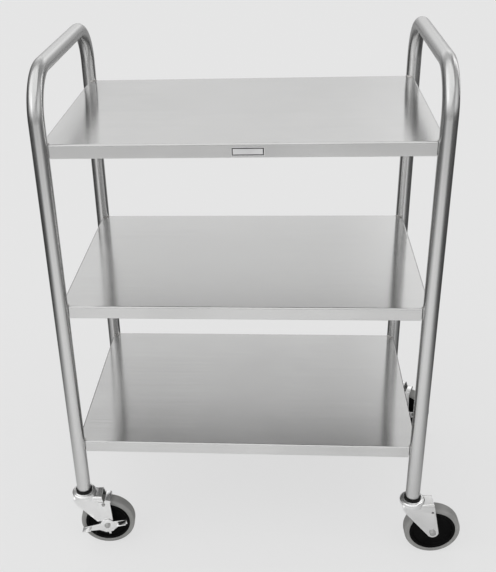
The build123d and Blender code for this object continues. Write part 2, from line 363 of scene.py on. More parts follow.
@dataclass(frozen=True)
class EffectGroup:
    """A shared shader effect, built once and placed in each material with its own values.

    Attributes:
        name: Its name.
        inputs: Names and kinds of its inputs, with the value of each that needs one.
        outputs: Names and kinds of its outputs.
    """

    name: str
    inputs: tuple[tuple[str, Socket, float | None], ...]
    outputs: tuple[tuple[str, Socket], ...]

    def start(self) -> tuple[bpy.types.NodeTree, bpy.types.Node, bpy.types.Node]:
        """Returns the new node tree with its input and output nodes."""
        tree = bpy.data.node_groups.new(self.name, "ShaderNodeTree")
        for name, kind, value in self.inputs:
            socket = tree.interface.new_socket(name=name, in_out="INPUT", socket_type=kind.value)
            if value is not None:
                socket.default_value = value
        for name, kind in self.outputs:
            tree.interface.new_socket(name=name, in_out="OUTPUT", socket_type=kind.value)
        return tree, tree.nodes.new("NodeGroupInput"), tree.nodes.new("NodeGroupOutput")


def add_math(
    tree: bpy.types.NodeTree, operation: str, first: object, second: object, clamp: bool = False
) -> bpy.types.NodeSocket:
    """Adds a math node.

    Args:
        tree: The node tree.
        operation: Blender's name of the operation.
        first: A socket or a number.
        second: A socket or a number.
        clamp: Whether the result stays from zero to one.

    Returns:
        The result's socket.
    """
    node = tree.nodes.new("ShaderNodeMath")
    node.operation = operation
    node.use_clamp = clamp
    for index, value in enumerate((first, second)):
        if isinstance(value, (int, float)):
            node.inputs[index].default_value = value
        else:
            tree.links.new(value, node.inputs[index])
    return node.outputs[0]


@dataclass(frozen=True)
class Noise:
    """One kind of noise, stretched along an axis or more.

    Attributes:
        scale: Waves per metre along each axis.
        detail: Octaves of finer noise.
        roughness: Weight of the finer octaves.
    """

    scale: Triple
    detail: float
    roughness: float = 0.5

    def add(self, tree: bpy.types.NodeTree, vector: bpy.types.NodeSocket) -> bpy.types.NodeSocket:
        """Adds the noise to a node tree.

        Args:
            tree: The node tree.
            vector: Where the noise is read.

        Returns:
            The noise's value, about a half on average.
        """
        mapping = tree.nodes.new("ShaderNodeMapping")
        mapping.inputs["Scale"].default_value = self.scale
        tree.links.new(vector, mapping.inputs["Vector"])
        noise = tree.nodes.new("ShaderNodeTexNoise")
        noise.inputs["Scale"].default_value = 1.0
        noise.inputs["Detail"].default_value = self.detail
        noise.inputs["Roughness"].default_value = self.roughness
        tree.links.new(mapping.outputs["Vector"], noise.inputs["Vector"])
        return noise.outputs[0]


@dataclass
class Effects:
    """The shared effects, each made when a material first asks for it.

    Attributes:
        fine_lines: The finest lines of the polish, along the first axis.
        deep_lines: Its deeper lines.
        deep_share: Share of the deeper lines in the grain's height.
        patches: Soft wiped patches.
        specks: Small specks.
        flat: Pointiness of a surface that is nearly flat.
        rub_gain: How quickly the rubbing of an edge grows above that.
    """

    fine_lines: Noise = Noise((9.0, 1400.0, 1400.0), 4.0, 0.6)
    deep_lines: Noise = Noise((2.5, 210.0, 210.0), 3.0, 0.55)
    deep_share: float = 0.6
    patches: Noise = Noise((7.0, 7.0, 7.0), 3.0, 0.5)
    specks: Noise = Noise((160.0, 160.0, 160.0), 2.0, 0.6)
    flat: float = 0.52
    rub_gain: float = 12.0

    @cached_property
    def grain(self) -> bpy.types.NodeTree:
        """Polishing grain: fine lines along the first axis of the vector, with a few deeper ones."""
        group = EffectGroup(
            "polishing_grain",
            (("Vector", Socket.VECTOR, None),),
            (("Lines", Socket.VALUE), ("Height", Socket.VALUE)),
        )
        tree, given, made = group.start()
        fine = self.fine_lines.add(tree, given.outputs["Vector"])
        deep = self.deep_lines.add(tree, given.outputs["Vector"])
        deep_part = add_math(tree, "MULTIPLY", deep, self.deep_share)
        fine_part = add_math(tree, "MULTIPLY", fine, 1.0 - self.deep_share)
        tree.links.new(deep, made.inputs["Lines"])
        tree.links.new(add_math(tree, "ADD", deep_part, fine_part), made.inputs["Height"])
        return tree

    @cached_property
    def clouding(self) -> bpy.types.NodeTree:
        """Soft wiped patches and small specks, as handling leaves on metal."""
        group = EffectGroup(
            "clouding",
            (("Vector", Socket.VECTOR, None), ("Scale", Socket.VALUE, 1.0)),
            (("Patches", Socket.VALUE), ("Specks", Socket.VALUE)),
        )
        tree, given, made = group.start()
        scaled = tree.nodes.new("ShaderNodeVectorMath")
        scaled.operation = "SCALE"
        tree.links.new(given.outputs["Vector"], scaled.inputs[0])
        tree.links.new(given.outputs["Scale"], scaled.inputs["Scale"])
        tree.links.new(self.patches.add(tree, scaled.outputs[0]), made.inputs["Patches"])
        tree.links.new(self.specks.add(tree, scaled.outputs[0]), made.inputs["Specks"])
        return tree

    @cached_property
    def edge_rub(self) -> bpy.types.NodeTree:
        """Mask of the edges where handling has rubbed a piece."""
        group = EffectGroup("edge_rub", (("Amount", Socket.VALUE, 1.0),), (("Mask", Socket.VALUE),))
        tree, given, made = group.start()
        geometry = tree.nodes.new("ShaderNodeNewGeometry")
        ridge = add_math(tree, "SUBTRACT", geometry.outputs["Pointiness"], self.flat)
        raised = add_math(tree, "MULTIPLY", ridge, self.rub_gain, clamp=True)
        rubbed = add_math(tree, "MULTIPLY", raised, given.outputs["Amount"], clamp=True)
        tree.links.new(rubbed, made.inputs["Mask"])
        return tree


@dataclass
class Dresser:
    """Places nodes in one material and links them to its shader.

    Attributes:
        name: The material's name.
        noise_low: Value below which a noise counts as low.
        noise_high: Value above which it counts as high.
    """

    name: str
    noise_low: float = 0.3
    noise_high: float = 0.7

    def __post_init__(self) -> None:
        """Makes the material with its shader and coordinate nodes."""
        self.material = bpy.data.materials.new(self.name)
        self.material.use_nodes = True
        self.tree = self.material.node_tree
        self.shader = next(n for n in self.tree.nodes if n.type == "BSDF_PRINCIPLED")
        self.places = self.tree.nodes.new("ShaderNodeTexCoord")

    @property
    def object_place(self) -> bpy.types.NodeSocket:
        """The surface's place in the frame."""
        return self.places.outputs["Object"]

    @property
    def grain_place(self) -> bpy.types.NodeSocket:
        """The surface's place in the piece's own grain map."""
        uv = self.tree.nodes.new("ShaderNodeUVMap")
        uv.uv_map = GRAIN_MAP
        return uv.outputs["UV"]

    def set(self, values: dict[str, object]) -> None:
        """Sets plain constants on the shader's own sockets.

        Args:
            values: Socket names and their values.
        """
        for name, value in values.items():
            self.shader.inputs[name].default_value = value

    def group(self, tree: bpy.types.NodeTree, **values: object) -> bpy.types.Node:
        """Places a shared effect.

        Args:
            tree: The effect's node tree.
            **values: Input names in lower case, with sockets or numbers.

        Returns:
            The group node.
        """
        node = self.tree.nodes.new("ShaderNodeGroup")
        node.node_tree = tree
        for key, value in values.items():
            socket = node.inputs[key.title()]
            if isinstance(value, bpy.types.NodeSocket):
                self.tree.links.new(value, socket)
            else:
                socket.default_value = value
        return node

    def mix(self, mask: bpy.types.NodeSocket, low: Triple, high: Triple) -> bpy.types.NodeSocket:
        """Mixes two colours by a mask.

        Args:
            mask: The mask, zero for the first colour.
            low: First colour.
            high: Second colour.

        Returns:
            The mixed colour's socket.
        """
        node = self.tree.nodes.new("ShaderNodeMix")
        node.data_type = "RGBA"
        self.tree.links.new(mask, node.inputs["Factor"])
        node.inputs["A"].default_value = (*low, 1.0)
        node.inputs["B"].default_value = (*high, 1.0)
        return node.outputs["Result"]

    def spread(self, value: bpy.types.NodeSocket, low: float, high: float) -> bpy.types.NodeSocket:
        """Stretches the middle of a noise to a range.

        Args:
            value: The noise.
            low: Result where the noise is low.
            high: Result where it is high.

        Returns:
            The result's socket.
        """
        node = self.tree.nodes.new("ShaderNodeMapRange")
        node.inputs["From Min"].default_value = self.noise_low
        node.inputs["From Max"].default_value = self.noise_high
        node.inputs["To Min"].default_value = low
        node.inputs["To Max"].default_value = high
        self.tree.links.new(value, node.inputs["Value"])
        return node.outputs["Result"]

    def link(self, value: bpy.types.NodeSocket, socket: str) -> None:
        """Links a value that varies over the surface to the shader.

        Args:
            value: The socket to link.
            socket: The shader's input.
        """
        self.tree.links.new(value, self.shader.inputs[socket])

    def bump(
        self, height: bpy.types.NodeSocket, depth: float, under: bpy.types.Node | None = None
    ) -> bpy.types.Node:
        """Adds a bump to the shader's normal.

        Args:
            height: The height's socket, from zero to one.
            depth: Depth of the bump in metres.
            under: A coarser bump that this one lies on.

        Returns:
            The bump node.
        """
        node = self.tree.nodes.new("ShaderNodeBump")
        node.inputs["Strength"].default_value = 1.0
        node.inputs["Distance"].default_value = depth
        self.tree.links.new(height, node.inputs["Height"])
        if under is not None:
            self.tree.links.new(under.outputs["Normal"], node.inputs["Normal"])
        self.link(node.outputs["Normal"], "Normal")
        return node


class Grain(Enum):
    """How polishing grain lies on a piece: turn of the highlight against the grain map's U."""

    ALONG_U = 0.25
    ACROSS_U = 0.0


@dataclass(frozen=True)
class PolishedSteel:
    """Bare steel with a directional polish.

    Attributes:
        name: Name of the material.
        dark: Colour in the grain's low places.
        light: Colour on its high places.
        smooth: Roughness where it is cleanest.
        rough: Roughness where it is dullest.
        anisotropy: How much wider the highlight is across the grain.
        grain: Which way the grain runs.
        grain_depth: Depth of the grain.
        wave_depth: Depth of the slow waves in the surface.
        waves: Those slow waves.
        line_share: Share of the grain's lines in the colour's changes, the rest being wiped patches.
    """

    name: str
    dark: Triple
    light: Triple
    smooth: float
    rough: float
    anisotropy: float
    grain: Grain
    grain_depth: float
    wave_depth: float
    waves: Noise = Noise((5.0, 5.0, 5.0), 1.0)
    line_share: float = 0.35

    def build(self, effects: Effects) -> bpy.types.Material:
        """Makes the material.

        Args:
            effects: The shared effects.

        Returns:
            The material.
        """
        dress = Dresser(self.name)
        dress.set({"Metallic": 1.0, "Anisotropic": self.anisotropy, "Anisotropic Rotation": self.grain.value})
        tangent = dress.tree.nodes.new("ShaderNodeTangent")
        tangent.direction_type = "UV_MAP"
        tangent.uv_map = GRAIN_MAP
        dress.tree.links.new(tangent.outputs["Tangent"], dress.shader.inputs["Tangent"])
        place = dress.grain_place
        if self.grain is Grain.ACROSS_U:
            turn = dress.tree.nodes.new("ShaderNodeVectorRotate")
            turn.rotation_type = "Z_AXIS"
            turn.inputs["Angle"].default_value = QUARTER_TURN
            dress.tree.links.new(place, turn.inputs["Vector"])
            place = turn.outputs["Vector"]
        grain = dress.group(effects.grain, vector=place)
        clouds = dress.group(effects.clouding, vector=dress.object_place)
        mixed = add_math(
            dress.tree,
            "ADD",
            add_math(dress.tree, "MULTIPLY", grain.outputs["Lines"], self.line_share),
            add_math(dress.tree, "MULTIPLY", clouds.outputs["Patches"], 1.0 - self.line_share),
        )
        dress.link(dress.mix(dress.spread(mixed, 0.0, 1.0), self.dark, self.light), "Base Color")
        dress.link(dress.spread(mixed, self.smooth, self.rough), "Roughness")
        coarse = dress.bump(self.waves.add(dress.tree, dress.object_place), self.wave_depth)
        dress.bump(grain.outputs["Height"], self.grain_depth, coarse)
        return dress.material


@dataclass(frozen=True)
class PlatedSteel:
    """Bright zinc plate on stamped steel or on small turned parts.

    Attributes:
        name: Name of the material.
        fresh: Colour of the clean plating.
        dull: Colour where it is handled or clouded.
        smooth: Roughness of the clean plating.
        rough: Roughness where it is dull.
        rub: How strongly edges are rubbed bright.
        patch_scale: How many times smaller its patches are than the shared ones.
        speck_depth: Depth of the specks.
    """

    name: str
    fresh: Triple
    dull: Triple
    smooth: float
    rough: float
    rub: float
    patch_scale: float = 4.0
    speck_depth: float = 0.02 * MM

    def build(self, effects: Effects) -> bpy.types.Material:
        """Makes the material.

        Args:
            effects: The shared effects.

        Returns:
            The material.
        """
        dress = Dresser(self.name)
        dress.set({"Metallic": 1.0})
        clouds = dress.group(effects.clouding, vector=dress.object_place, scale=self.patch_scale)
        edges = dress.group(effects.edge_rub, amount=self.rub)
        dirt = dress.spread(clouds.outputs["Patches"], 0.0, 1.0)
        kept = add_math(dress.tree, "SUBTRACT", dirt, edges.outputs["Mask"], clamp=True)
        dress.link(dress.mix(kept, self.fresh, self.dull), "Base Color")
        dress.link(dress.spread(kept, self.smooth, self.rough), "Roughness")
        dress.bump(clouds.outputs["Specks"], self.speck_depth)
        return dress.material


@dataclass(frozen=True)
class Moulded:
    """Rubber or plastic with a fine moulded skin.

    Attributes:
        name: Name of the material.
        body: Main colour.
        dusty: Colour where dust or wear shows.
        smooth: Lowest roughness.
        rough: Highest roughness.
        skin: Depth of the moulded texture.
        dust: How much of the dusty colour shows in the patches.
        specular: Level of the plain reflection.
        edge_wear: How strongly the dusty colour shows on the edges.
        patch_scale: How many times smaller its patches are than the shared ones.
    """

    name: str
    body: Triple
    dusty: Triple
    smooth: float
    rough: float
    skin: float
    dust: float
    specular: float
    edge_wear: float = 0.5
    patch_scale: float = 6.0

    def build(self, effects: Effects) -> bpy.types.Material:
        """Makes the material.

        Args:
            effects: The shared effects.

        Returns:
            The material.
        """
        dress = Dresser(self.name)
        dress.set({"Metallic": 0.0, "Specular IOR Level": self.specular})
        clouds = dress.group(effects.clouding, vector=dress.object_place, scale=self.patch_scale)
        edges = dress.group(effects.edge_rub, amount=self.edge_wear)
        patches = dress.spread(clouds.outputs["Patches"], 0.0, self.dust)
        mask = add_math(dress.tree, "ADD", patches, edges.outputs["Mask"], clamp=True)
        dress.link(dress.mix(mask, self.body, self.dusty), "Base Color")
        dress.link(dress.spread(clouds.outputs["Specks"], self.smooth, self.rough), "Roughness")
        dress.bump(clouds.outputs["Specks"], self.skin)
        return dress.material


@dataclass
class Finishes:
    """Every finish of the cart.

    Attributes:
        effects: The effects that the finishes share.
    """

    effects: Effects

    def __post_init__(self) -> None:
        """Builds the materials."""
        self.shelf = PolishedSteel(
            name="brushed_shelf_steel",
            dark=(0.570, 0.569, 0.566),
            light=(0.665, 0.664, 0.660),
            smooth=0.185,
            rough=0.215,
            anisotropy=1.0,
            grain=Grain.ALONG_U,
            grain_depth=0.002 * MM,
            wave_depth=0.10 * MM,
        ).build(self.effects)
        self.tube = PolishedSteel(
            name="polished_tube_steel",
            dark=(0.595, 0.595, 0.592),
            light=(0.630, 0.630, 0.627),
            smooth=0.200,
            rough=0.222,
            anisotropy=0.94,
            grain=Grain.ACROSS_U,
            grain_depth=0.0004 * MM,
            wave_depth=0.03 * MM,
        ).build(self.effects)
        self.weld = PlatedSteel(
            name="dressed_weld_steel",
            fresh=(0.50, 0.49, 0.475),
            dull=(0.34, 0.325, 0.31),
            smooth=0.28,
            rough=0.45,
            rub=0.4,
        ).build(self.effects)
        self.plate = PlatedSteel(
            name="nameplate_metal",
            fresh=(0.80, 0.80, 0.80),
            dull=(0.74, 0.74, 0.745),
            smooth=0.34,
            rough=0.44,
            rub=0.0,
        ).build(self.effects)
        self.plate_groove = PlatedSteel(
            name="nameplate_groove",
            fresh=(0.07, 0.07, 0.07),
            dull=(0.05, 0.05, 0.05),
            smooth=0.45,
            rough=0.6,
            rub=0.0,
        ).build(self.effects)
        self.zinc = PlatedSteel(
            name="caster_zinc",
            fresh=(0.83, 0.83, 0.83),
            dull=(0.77, 0.77, 0.765),
            smooth=0.20,
            rough=0.268,
            rub=0.4,
        ).build(self.effects)
        self.fastener = PlatedSteel(
            name="fastener_steel",
            fresh=(0.50, 0.50, 0.495),
            dull=(0.34, 0.34, 0.335),
            smooth=0.36,
            rough=0.50,
            rub=0.3,
        ).build(self.effects)
        self.ball = PlatedSteel(
            name="bearing_ball_steel",
            fresh=(0.72, 0.72, 0.73),
            dull=(0.55, 0.55, 0.55),
            smooth=0.08,
            rough=0.2,
            rub=0.0,
        ).build(self.effects)
        self.black_rubber = Moulded(
            name="black_rubber",
            body=(0.006, 0.006, 0.006),
            dusty=(0.020, 0.020, 0.019),
            smooth=0.45,
            rough=0.62,
            skin=0.03 * MM,
            dust=0.5,
            specular=0.12,
        ).build(self.effects)
        self.wheel_plastic = Moulded(
            name="wheel_core_plastic",
            body=(0.002, 0.002, 0.002),
            dusty=(0.006, 0.006, 0.006),
            smooth=0.45,
            rough=0.58,
            skin=0.02 * MM,
            dust=0.5,
            specular=0.05,
        ).build(self.effects)
        self.tread = Moulded(
            name="grey_tread_rubber",
            body=(0.262, 0.261, 0.254),
            dusty=(0.345, 0.343, 0.334),
            smooth=0.62,
            rough=0.82,
            skin=0.05 * MM,
            dust=0.8,
            specular=0.3,
        ).build(self.effects)


# Frame and shelves


@dataclass
class EndFrame:
    """One bent tube: two legs and the handle bar between them.

    Attributes:
        side: Which end of the cart, as the frame's node is named.
        wall: Wall of the tube.
        bend_radius: Radius of the bends, at the tube's axis.
        sides: Faces round the tube.
        bend_steps: Faces along each bend.
    """

    side: str
    wall: float = 1.65 * MM
    bend_radius: float = 70.0 * MM
    sides: int = 64
    bend_steps: int = 28

    def __post_init__(self) -> None:
        """Reads the tube's place from the frame."""
        self.node = f"{self.side}_end_frame"
        self.low, self.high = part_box(self.node)
        self.radius = (self.high.x - self.low.x) / 2.0
        self.x = (self.high.x + self.low.x) / 2.0
        self.leg_y = self.high.y - self.radius
        self.bar_z = self.high.z - self.radius
        self.bend_z = self.bar_z - self.bend_radius
        self.bend_y = self.leg_y - self.bend_radius

    def build(self, finish: bpy.types.Material) -> bpy.types.Object:
        """Models the tube and dresses it.

        Args:
            finish: The tube's material.

        Returns:
            The finished object.
        """
        work = bmesh.new()
        section = self.section(work)
        section = self.run(work, section, Vector((0.0, 0.0, self.bend_z - self.low.z)))
        section = self.bend(work, section, -self.bend_y)
        section = self.run(work, section, Vector((0.0, 2.0 * self.bend_y, 0.0)))
        section = self.bend(work, section, self.bend_y)
        self.run(work, section, Vector((0.0, 0.0, self.low.z - self.bend_z)))
        merge_close(work)
        self.unwrap(work)
        name = f"{self.side}_end_tube"
        return finished_object(name, work, finish, Fitting("root", "tube_steel", (self.node,)))

    def section(self, work: bmesh.types.BMesh) -> list[bmesh.types.BMFace]:
        """Draws the tube's ring-shaped section at the foot of the front leg.

        Args:
            work: The mesh to draw in.

        Returns:
            The section's faces.
        """
        place = Matrix.Translation((self.x, -self.leg_y, self.low.z))
        for radius in (self.radius, self.radius - self.wall):
            bmesh.ops.create_circle(work, cap_ends=False, segments=self.sides, radius=radius, matrix=place)
        return bmesh.ops.bridge_loops(work, edges=work.edges[:])["faces"]

    @staticmethod
    def run(
        work: bmesh.types.BMesh, section: list[bmesh.types.BMFace], step: Vector
    ) -> list[bmesh.types.BMFace]:
        """Draws a straight run.

        Args:
            work: The mesh.
            section: The faces to draw out.
            step: How far and which way.

        Returns:
            The faces at the run's far end.
        """
        drawn = bmesh.ops.extrude_face_region(work, geom=section)
        bmesh.ops.translate(work, verts=points_of(drawn), vec=step)
        return faces_of(drawn)

    def bend(
        self, work: bmesh.types.BMesh, section: list[bmesh.types.BMFace], centre_y: float
    ) -> list[bmesh.types.BMFace]:
        """Draws a quarter-turn bend towards the back.

        Args:
            work: The mesh.
            section: The faces to draw round.
            centre_y: Y of the bend's centre.

        Returns:
            The faces at the bend's far end.
        """
        turned = bmesh.ops.spin(
            work,
            geom=section,
            cent=(self.x, centre_y, self.bend_z),
            axis=(-1.0, 0.0, 0.0),
            dvec=ORIGIN,
            angle=QUARTER_TURN,
            steps=self.bend_steps,
        )
        return faces_of(turned)

    def unwrap(self, work: bmesh.types.BMesh) -> None:
        """Gives the tube a grain map with U along its length and V round it.

        Args:
            work: The finished mesh.
        """
        quarter = self.bend_radius * QUARTER_TURN
        rise = self.bend_z - self.low.z

        def along(place: Vector, _normal: Vector) -> tuple[float, float]:
            side = 1.0 if place.y > 0.0 else -1.0
            half = rise + quarter + self.bend_y
            if place.z <= self.bend_z:
                length, out = place.z - self.low.z, side * place.y - self.leg_y
            elif abs(place.y) <= self.bend_y:
                length, out = half - abs(place.y), place.z - self.bar_z
            else:
                dy, dz = abs(place.y) - self.bend_y, place.z - self.bend_z
                length = rise + self.bend_radius * math.atan2(dz, dy)
                out = math.hypot(dy, dz) - self.bend_radius
            length = 2.0 * half - length if side > 0.0 else length
            return length, self.radius * abs(math.atan2(place.x - self.x, out))

        map_grain(work, along)


@dataclass
class ShelfPan:
    """A sheet pan with turned-down edges, notched round the legs.

    Attributes:
        level: Which shelf, as the frame's node is named.
        sheet: Thickness of the sheet.
        bend: Outside radius of the bend between the top and the aprons.
        hem: Width of the hem along the bottom of the aprons.
        hem_bend: Radius of the hem's bend.
        leg_radius: Radius of the leg tubes.
        clearance: Gap between the notch and the leg.
        bend_steps: Faces across the bend between the top and the aprons.
        hem_steps: Faces across the hem's bend.
        notch_sides: Faces round the rods that cut the notches.
        notch_reach: Length of those rods, as a multiple of the shelf's height.
    """

    level: str
    sheet: float = 1.2 * MM
    bend: float = 3.0 * MM
    hem: float = 12.0 * MM
    hem_bend: float = 1.2 * MM
    leg_radius: float = 12.7 * MM
    clearance: float = 1.0 * MM
    bend_steps: int = 6
    hem_steps: int = 3
    notch_sides: int = 64
    notch_reach: float = 3.0

    def __post_init__(self) -> None:
        """Reads the shelf's place from the frame."""
        self.node = f"{self.level}_shelf"
        self.low, self.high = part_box(self.node)

    def build(self, finish: bpy.types.Material) -> bpy.types.Object:
        """Models the pan and dresses it.

        Args:
            finish: The shelf's material.

        Returns:
            The finished object.
        """
        work = self.folded_sheet()
        name = f"{self.level}_shelf_pan"
        pan = finished_object(name, work, finish, Fitting("root", "shelf_steel", (self.node,)))
        wall = pan.modifiers.new("sheet", "SOLIDIFY")
        wall.thickness = self.sheet
        wall.offset = -1.0
        wall.use_even_offset = True
        cutter = self.notch_cutter()
        notch = pan.modifiers.new("notches", "BOOLEAN")
        notch.operation = "DIFFERENCE"
        notch.solver = "EXACT"
        notch.object = cutter
        settle_modifiers(pan)
        bpy.data.objects.remove(cutter)
        self.unwrap(pan)
        return pan

    def folded_sheet(self) -> bmesh.types.BMesh:
        """Returns the outer face of the folded sheet, with no thickness yet."""
        work = bmesh.new()
        middle = (self.low + self.high) / 2.0
        size = self.high - self.low
        place = Matrix.Translation(middle) @ Matrix.Diagonal((*size, 1.0))
        bmesh.ops.create_cube(work, size=1.0, matrix=place)
        under = [f for f in work.faces if f.normal.z < -FACING]
        rim = list(under[0].edges)
        bmesh.ops.delete(work, geom=under, context="FACES_ONLY")
        drawn = bmesh.ops.extrude_edge_only(work, edges=rim)
        for point in points_of(drawn):
            point.co.x -= math.copysign(self.hem, point.co.x)
            point.co.y -= math.copysign(self.hem, point.co.y)
        merge_close(work)
        top = [e for e in work.edges if self.level_with(e, self.high.z)]
        round_edges(work, top, self.bend, self.bend_steps)
        low = [e for e in sharp_edges(work, SHARP_ANGLE) if self.level_with(e, self.low.z)]
        round_edges(work, low, self.hem_bend, self.hem_steps)
        bmesh.ops.recalc_face_normals(work, faces=work.faces[:])
        up = next(f for f in work.faces if abs(f.normal.z) > FACING and f.calc_center_median().z > middle.z)
        if up.normal.z < 0.0:
            bmesh.ops.reverse_faces(work, faces=work.faces[:])
        return work

    @staticmethod
    def level_with(edge: bmesh.types.BMEdge, height: float) -> bool:
        """Whether both ends of an edge lie at a height.

        Args:
            edge: The edge.
            height: The height.

        Returns:
            True where they do.
        """
        return all(abs(v.co.z - height) < MERGE_DISTANCE for v in edge.verts)

    def notch_cutter(self) -> bpy.types.Object:
        """Returns an object of four rods that cut the notches."""
        work = bmesh.new()
        radius = self.leg_radius + self.clearance
        for x in (self.low.x, self.high.x):
            for y in (self.low.y, self.high.y):
                bmesh.ops.create_cone(
                    work,
                    cap_ends=True,
                    segments=self.notch_sides,
                    radius1=radius,
                    radius2=radius,
                    depth=self.notch_reach * (self.high.z - self.low.z),
                    matrix=Matrix.Translation((x, y, (self.low.z + self.high.z) / 2.0)),
                )
        mesh = bpy.data.meshes.new("notch_cutter")
        work.to_mesh(mesh)
        work.free()
        cutter = bpy.data.objects.new("notch_cutter", mesh)
        bpy.context.scene.collection.objects.link(cutter)
        return cutter

    @staticmethod
    def unwrap(pan: bpy.types.Object) -> None:
        """Gives the pan a grain map with U along each face's long side, and crisp cut edges.

        Args:
            pan: The shelf's object.
        """
        work = bmesh.new()
        work.from_mesh(pan.data)
        for layer in list(work.loops.layers.uv):
            work.loops.layers.uv.remove(layer)
        map_grain(work, box_uv)
        work.to_mesh(pan.data)
        work.free()
        pan.data.shade_smooth()
        pan.data.set_sharp_from_angle(angle=SHARP_ANGLE)
        even = pan.modifiers.new("even_normals", "WEIGHTED_NORMAL")
        even.keep_sharp = True
        even.weight = 100
        settle_modifiers(pan)


@dataclass
class CornerWelds:
    """The fillet beads between the legs and the shelves' notched corners.

    Attributes:
        root_gap: Gap between the leg and the notch, which the bead fills.
        sheet: Thickness of the shelf's sheet.
        toe: How far the bead spreads over the shelf's top face.
        rise: How far it climbs the leg.
        sunk: How deep its spread part lies in the sheet.
        edge_inset: How far a bead's end stays from the shelf's edges.
        crown: Places across the bead and the heights there, as shares of its spread and rise.
        steps: Faces along each bead.
        ripple: Height of the bead's ripples.
        ripples: Number of ripples along a bead.
    """

    root_gap: float = 1.0 * MM
    sheet: float = 1.2 * MM
    toe: float = 2.3 * MM
    rise: float = 2.2 * MM
    sunk: float = 0.3 * MM
    edge_inset: float = 3.4 * MM
    crown: tuple[tuple[float, float], ...] = ((0.92, 0.14), (0.7, 0.4), (0.42, 0.7), (0.18, 0.9))
    steps: int = 40
    ripple: float = 0.2 * MM
    ripples: int = 11

    def build(
        self, finish: bpy.types.Material, tube: EndFrame, shelves: Iterable[ShelfPan]
    ) -> bpy.types.Object:
        """Models all the beads as one piece of separate solids.

        Args:
            finish: The beads' material.
            tube: An end frame, for the legs' size and place.
            shelves: The shelves that the beads lie on.

        Returns:
            The finished object.
        """
        work = bmesh.new()
        for shelf in shelves:
            for side_x in (-1.0, 1.0):
                for side_y in (-1.0, 1.0):
                    leg = Vector((side_x * abs(tube.x), side_y * tube.leg_y, shelf.high.z))
                    self.bead(work, leg, tube.radius)
        map_grain(work, box_uv)
        fitting = Fitting("root", "weld_steel", ("corner_welds",))
        return finished_object("corner_weld_beads", work, finish, fitting)

    def outline(self, tube_radius: float) -> list[tuple[float, float]]:
        """Corners of the bead's section.

        Args:
            tube_radius: Radius of the leg.

        Returns:
            Distances from the leg's axis, with heights over the shelf's top face.
        """
        gap = tube_radius + self.root_gap
        crown = [(tube_radius + across * self.toe, up * self.rise) for across, up in self.crown]
        return [
            (tube_radius, -self.sheet),
            (gap, -self.sheet),
            (gap, -self.sunk),
            (tube_radius + self.toe, -self.sunk),
            *crown,
            (tube_radius, self.rise),
        ]

    def bead(self, work: bmesh.types.BMesh, leg: Vector, tube_radius: float) -> None:
        """Turns one bead round a leg.

        Args:
            work: The mesh to add to.
            leg: The leg's axis at the shelf's top face.
            tube_radius: Radius of the leg.
        """
        bead = bmesh.new()
        edge = math.asin(self.edge_inset / tube_radius)
        sweep = QUARTER_TURN - 2.0 * edge
        inward = math.atan2(-leg.y, -leg.x) // QUARTER_TURN * QUARTER_TURN
        face = bead.faces.new([bead.verts.new((r, 0.0, z)) for r, z in self.outline(tube_radius)])
        bmesh.ops.spin(
            bead,
            geom=[face],
            cent=ORIGIN,
            axis=UPWARD,
            dvec=ORIGIN,
            angle=sweep,
            steps=self.steps,
        )
        for vertex in bead.verts:
            if MERGE_DISTANCE < vertex.co.z < self.rise - MERGE_DISTANCE:
                along = math.atan2(vertex.co.y, vertex.co.x) / sweep
                vertex.co.z -= self.ripple * (1.0 + math.sin(FULL_TURN * self.ripples * along)) / 2.0
        merge_close(bead)
        place = Matrix.Translation(leg) @ Matrix.Rotation(inward + edge, 4, "Z")
        bmesh.ops.transform(bead, matrix=place, verts=bead.verts[:])
        add_mesh(work, bead)


def add_mesh(work: bmesh.types.BMesh, other: bmesh.types.BMesh) -> None:
    """Adds one mesh to another and frees it.

    Args:
        work: The mesh to add to.
        other: The mesh to add.
    """
    passing = bpy.data.meshes.new("passing")
    other.to_mesh(passing)
    other.free()
    work.from_mesh(passing)
    bpy.data.meshes.remove(passing)


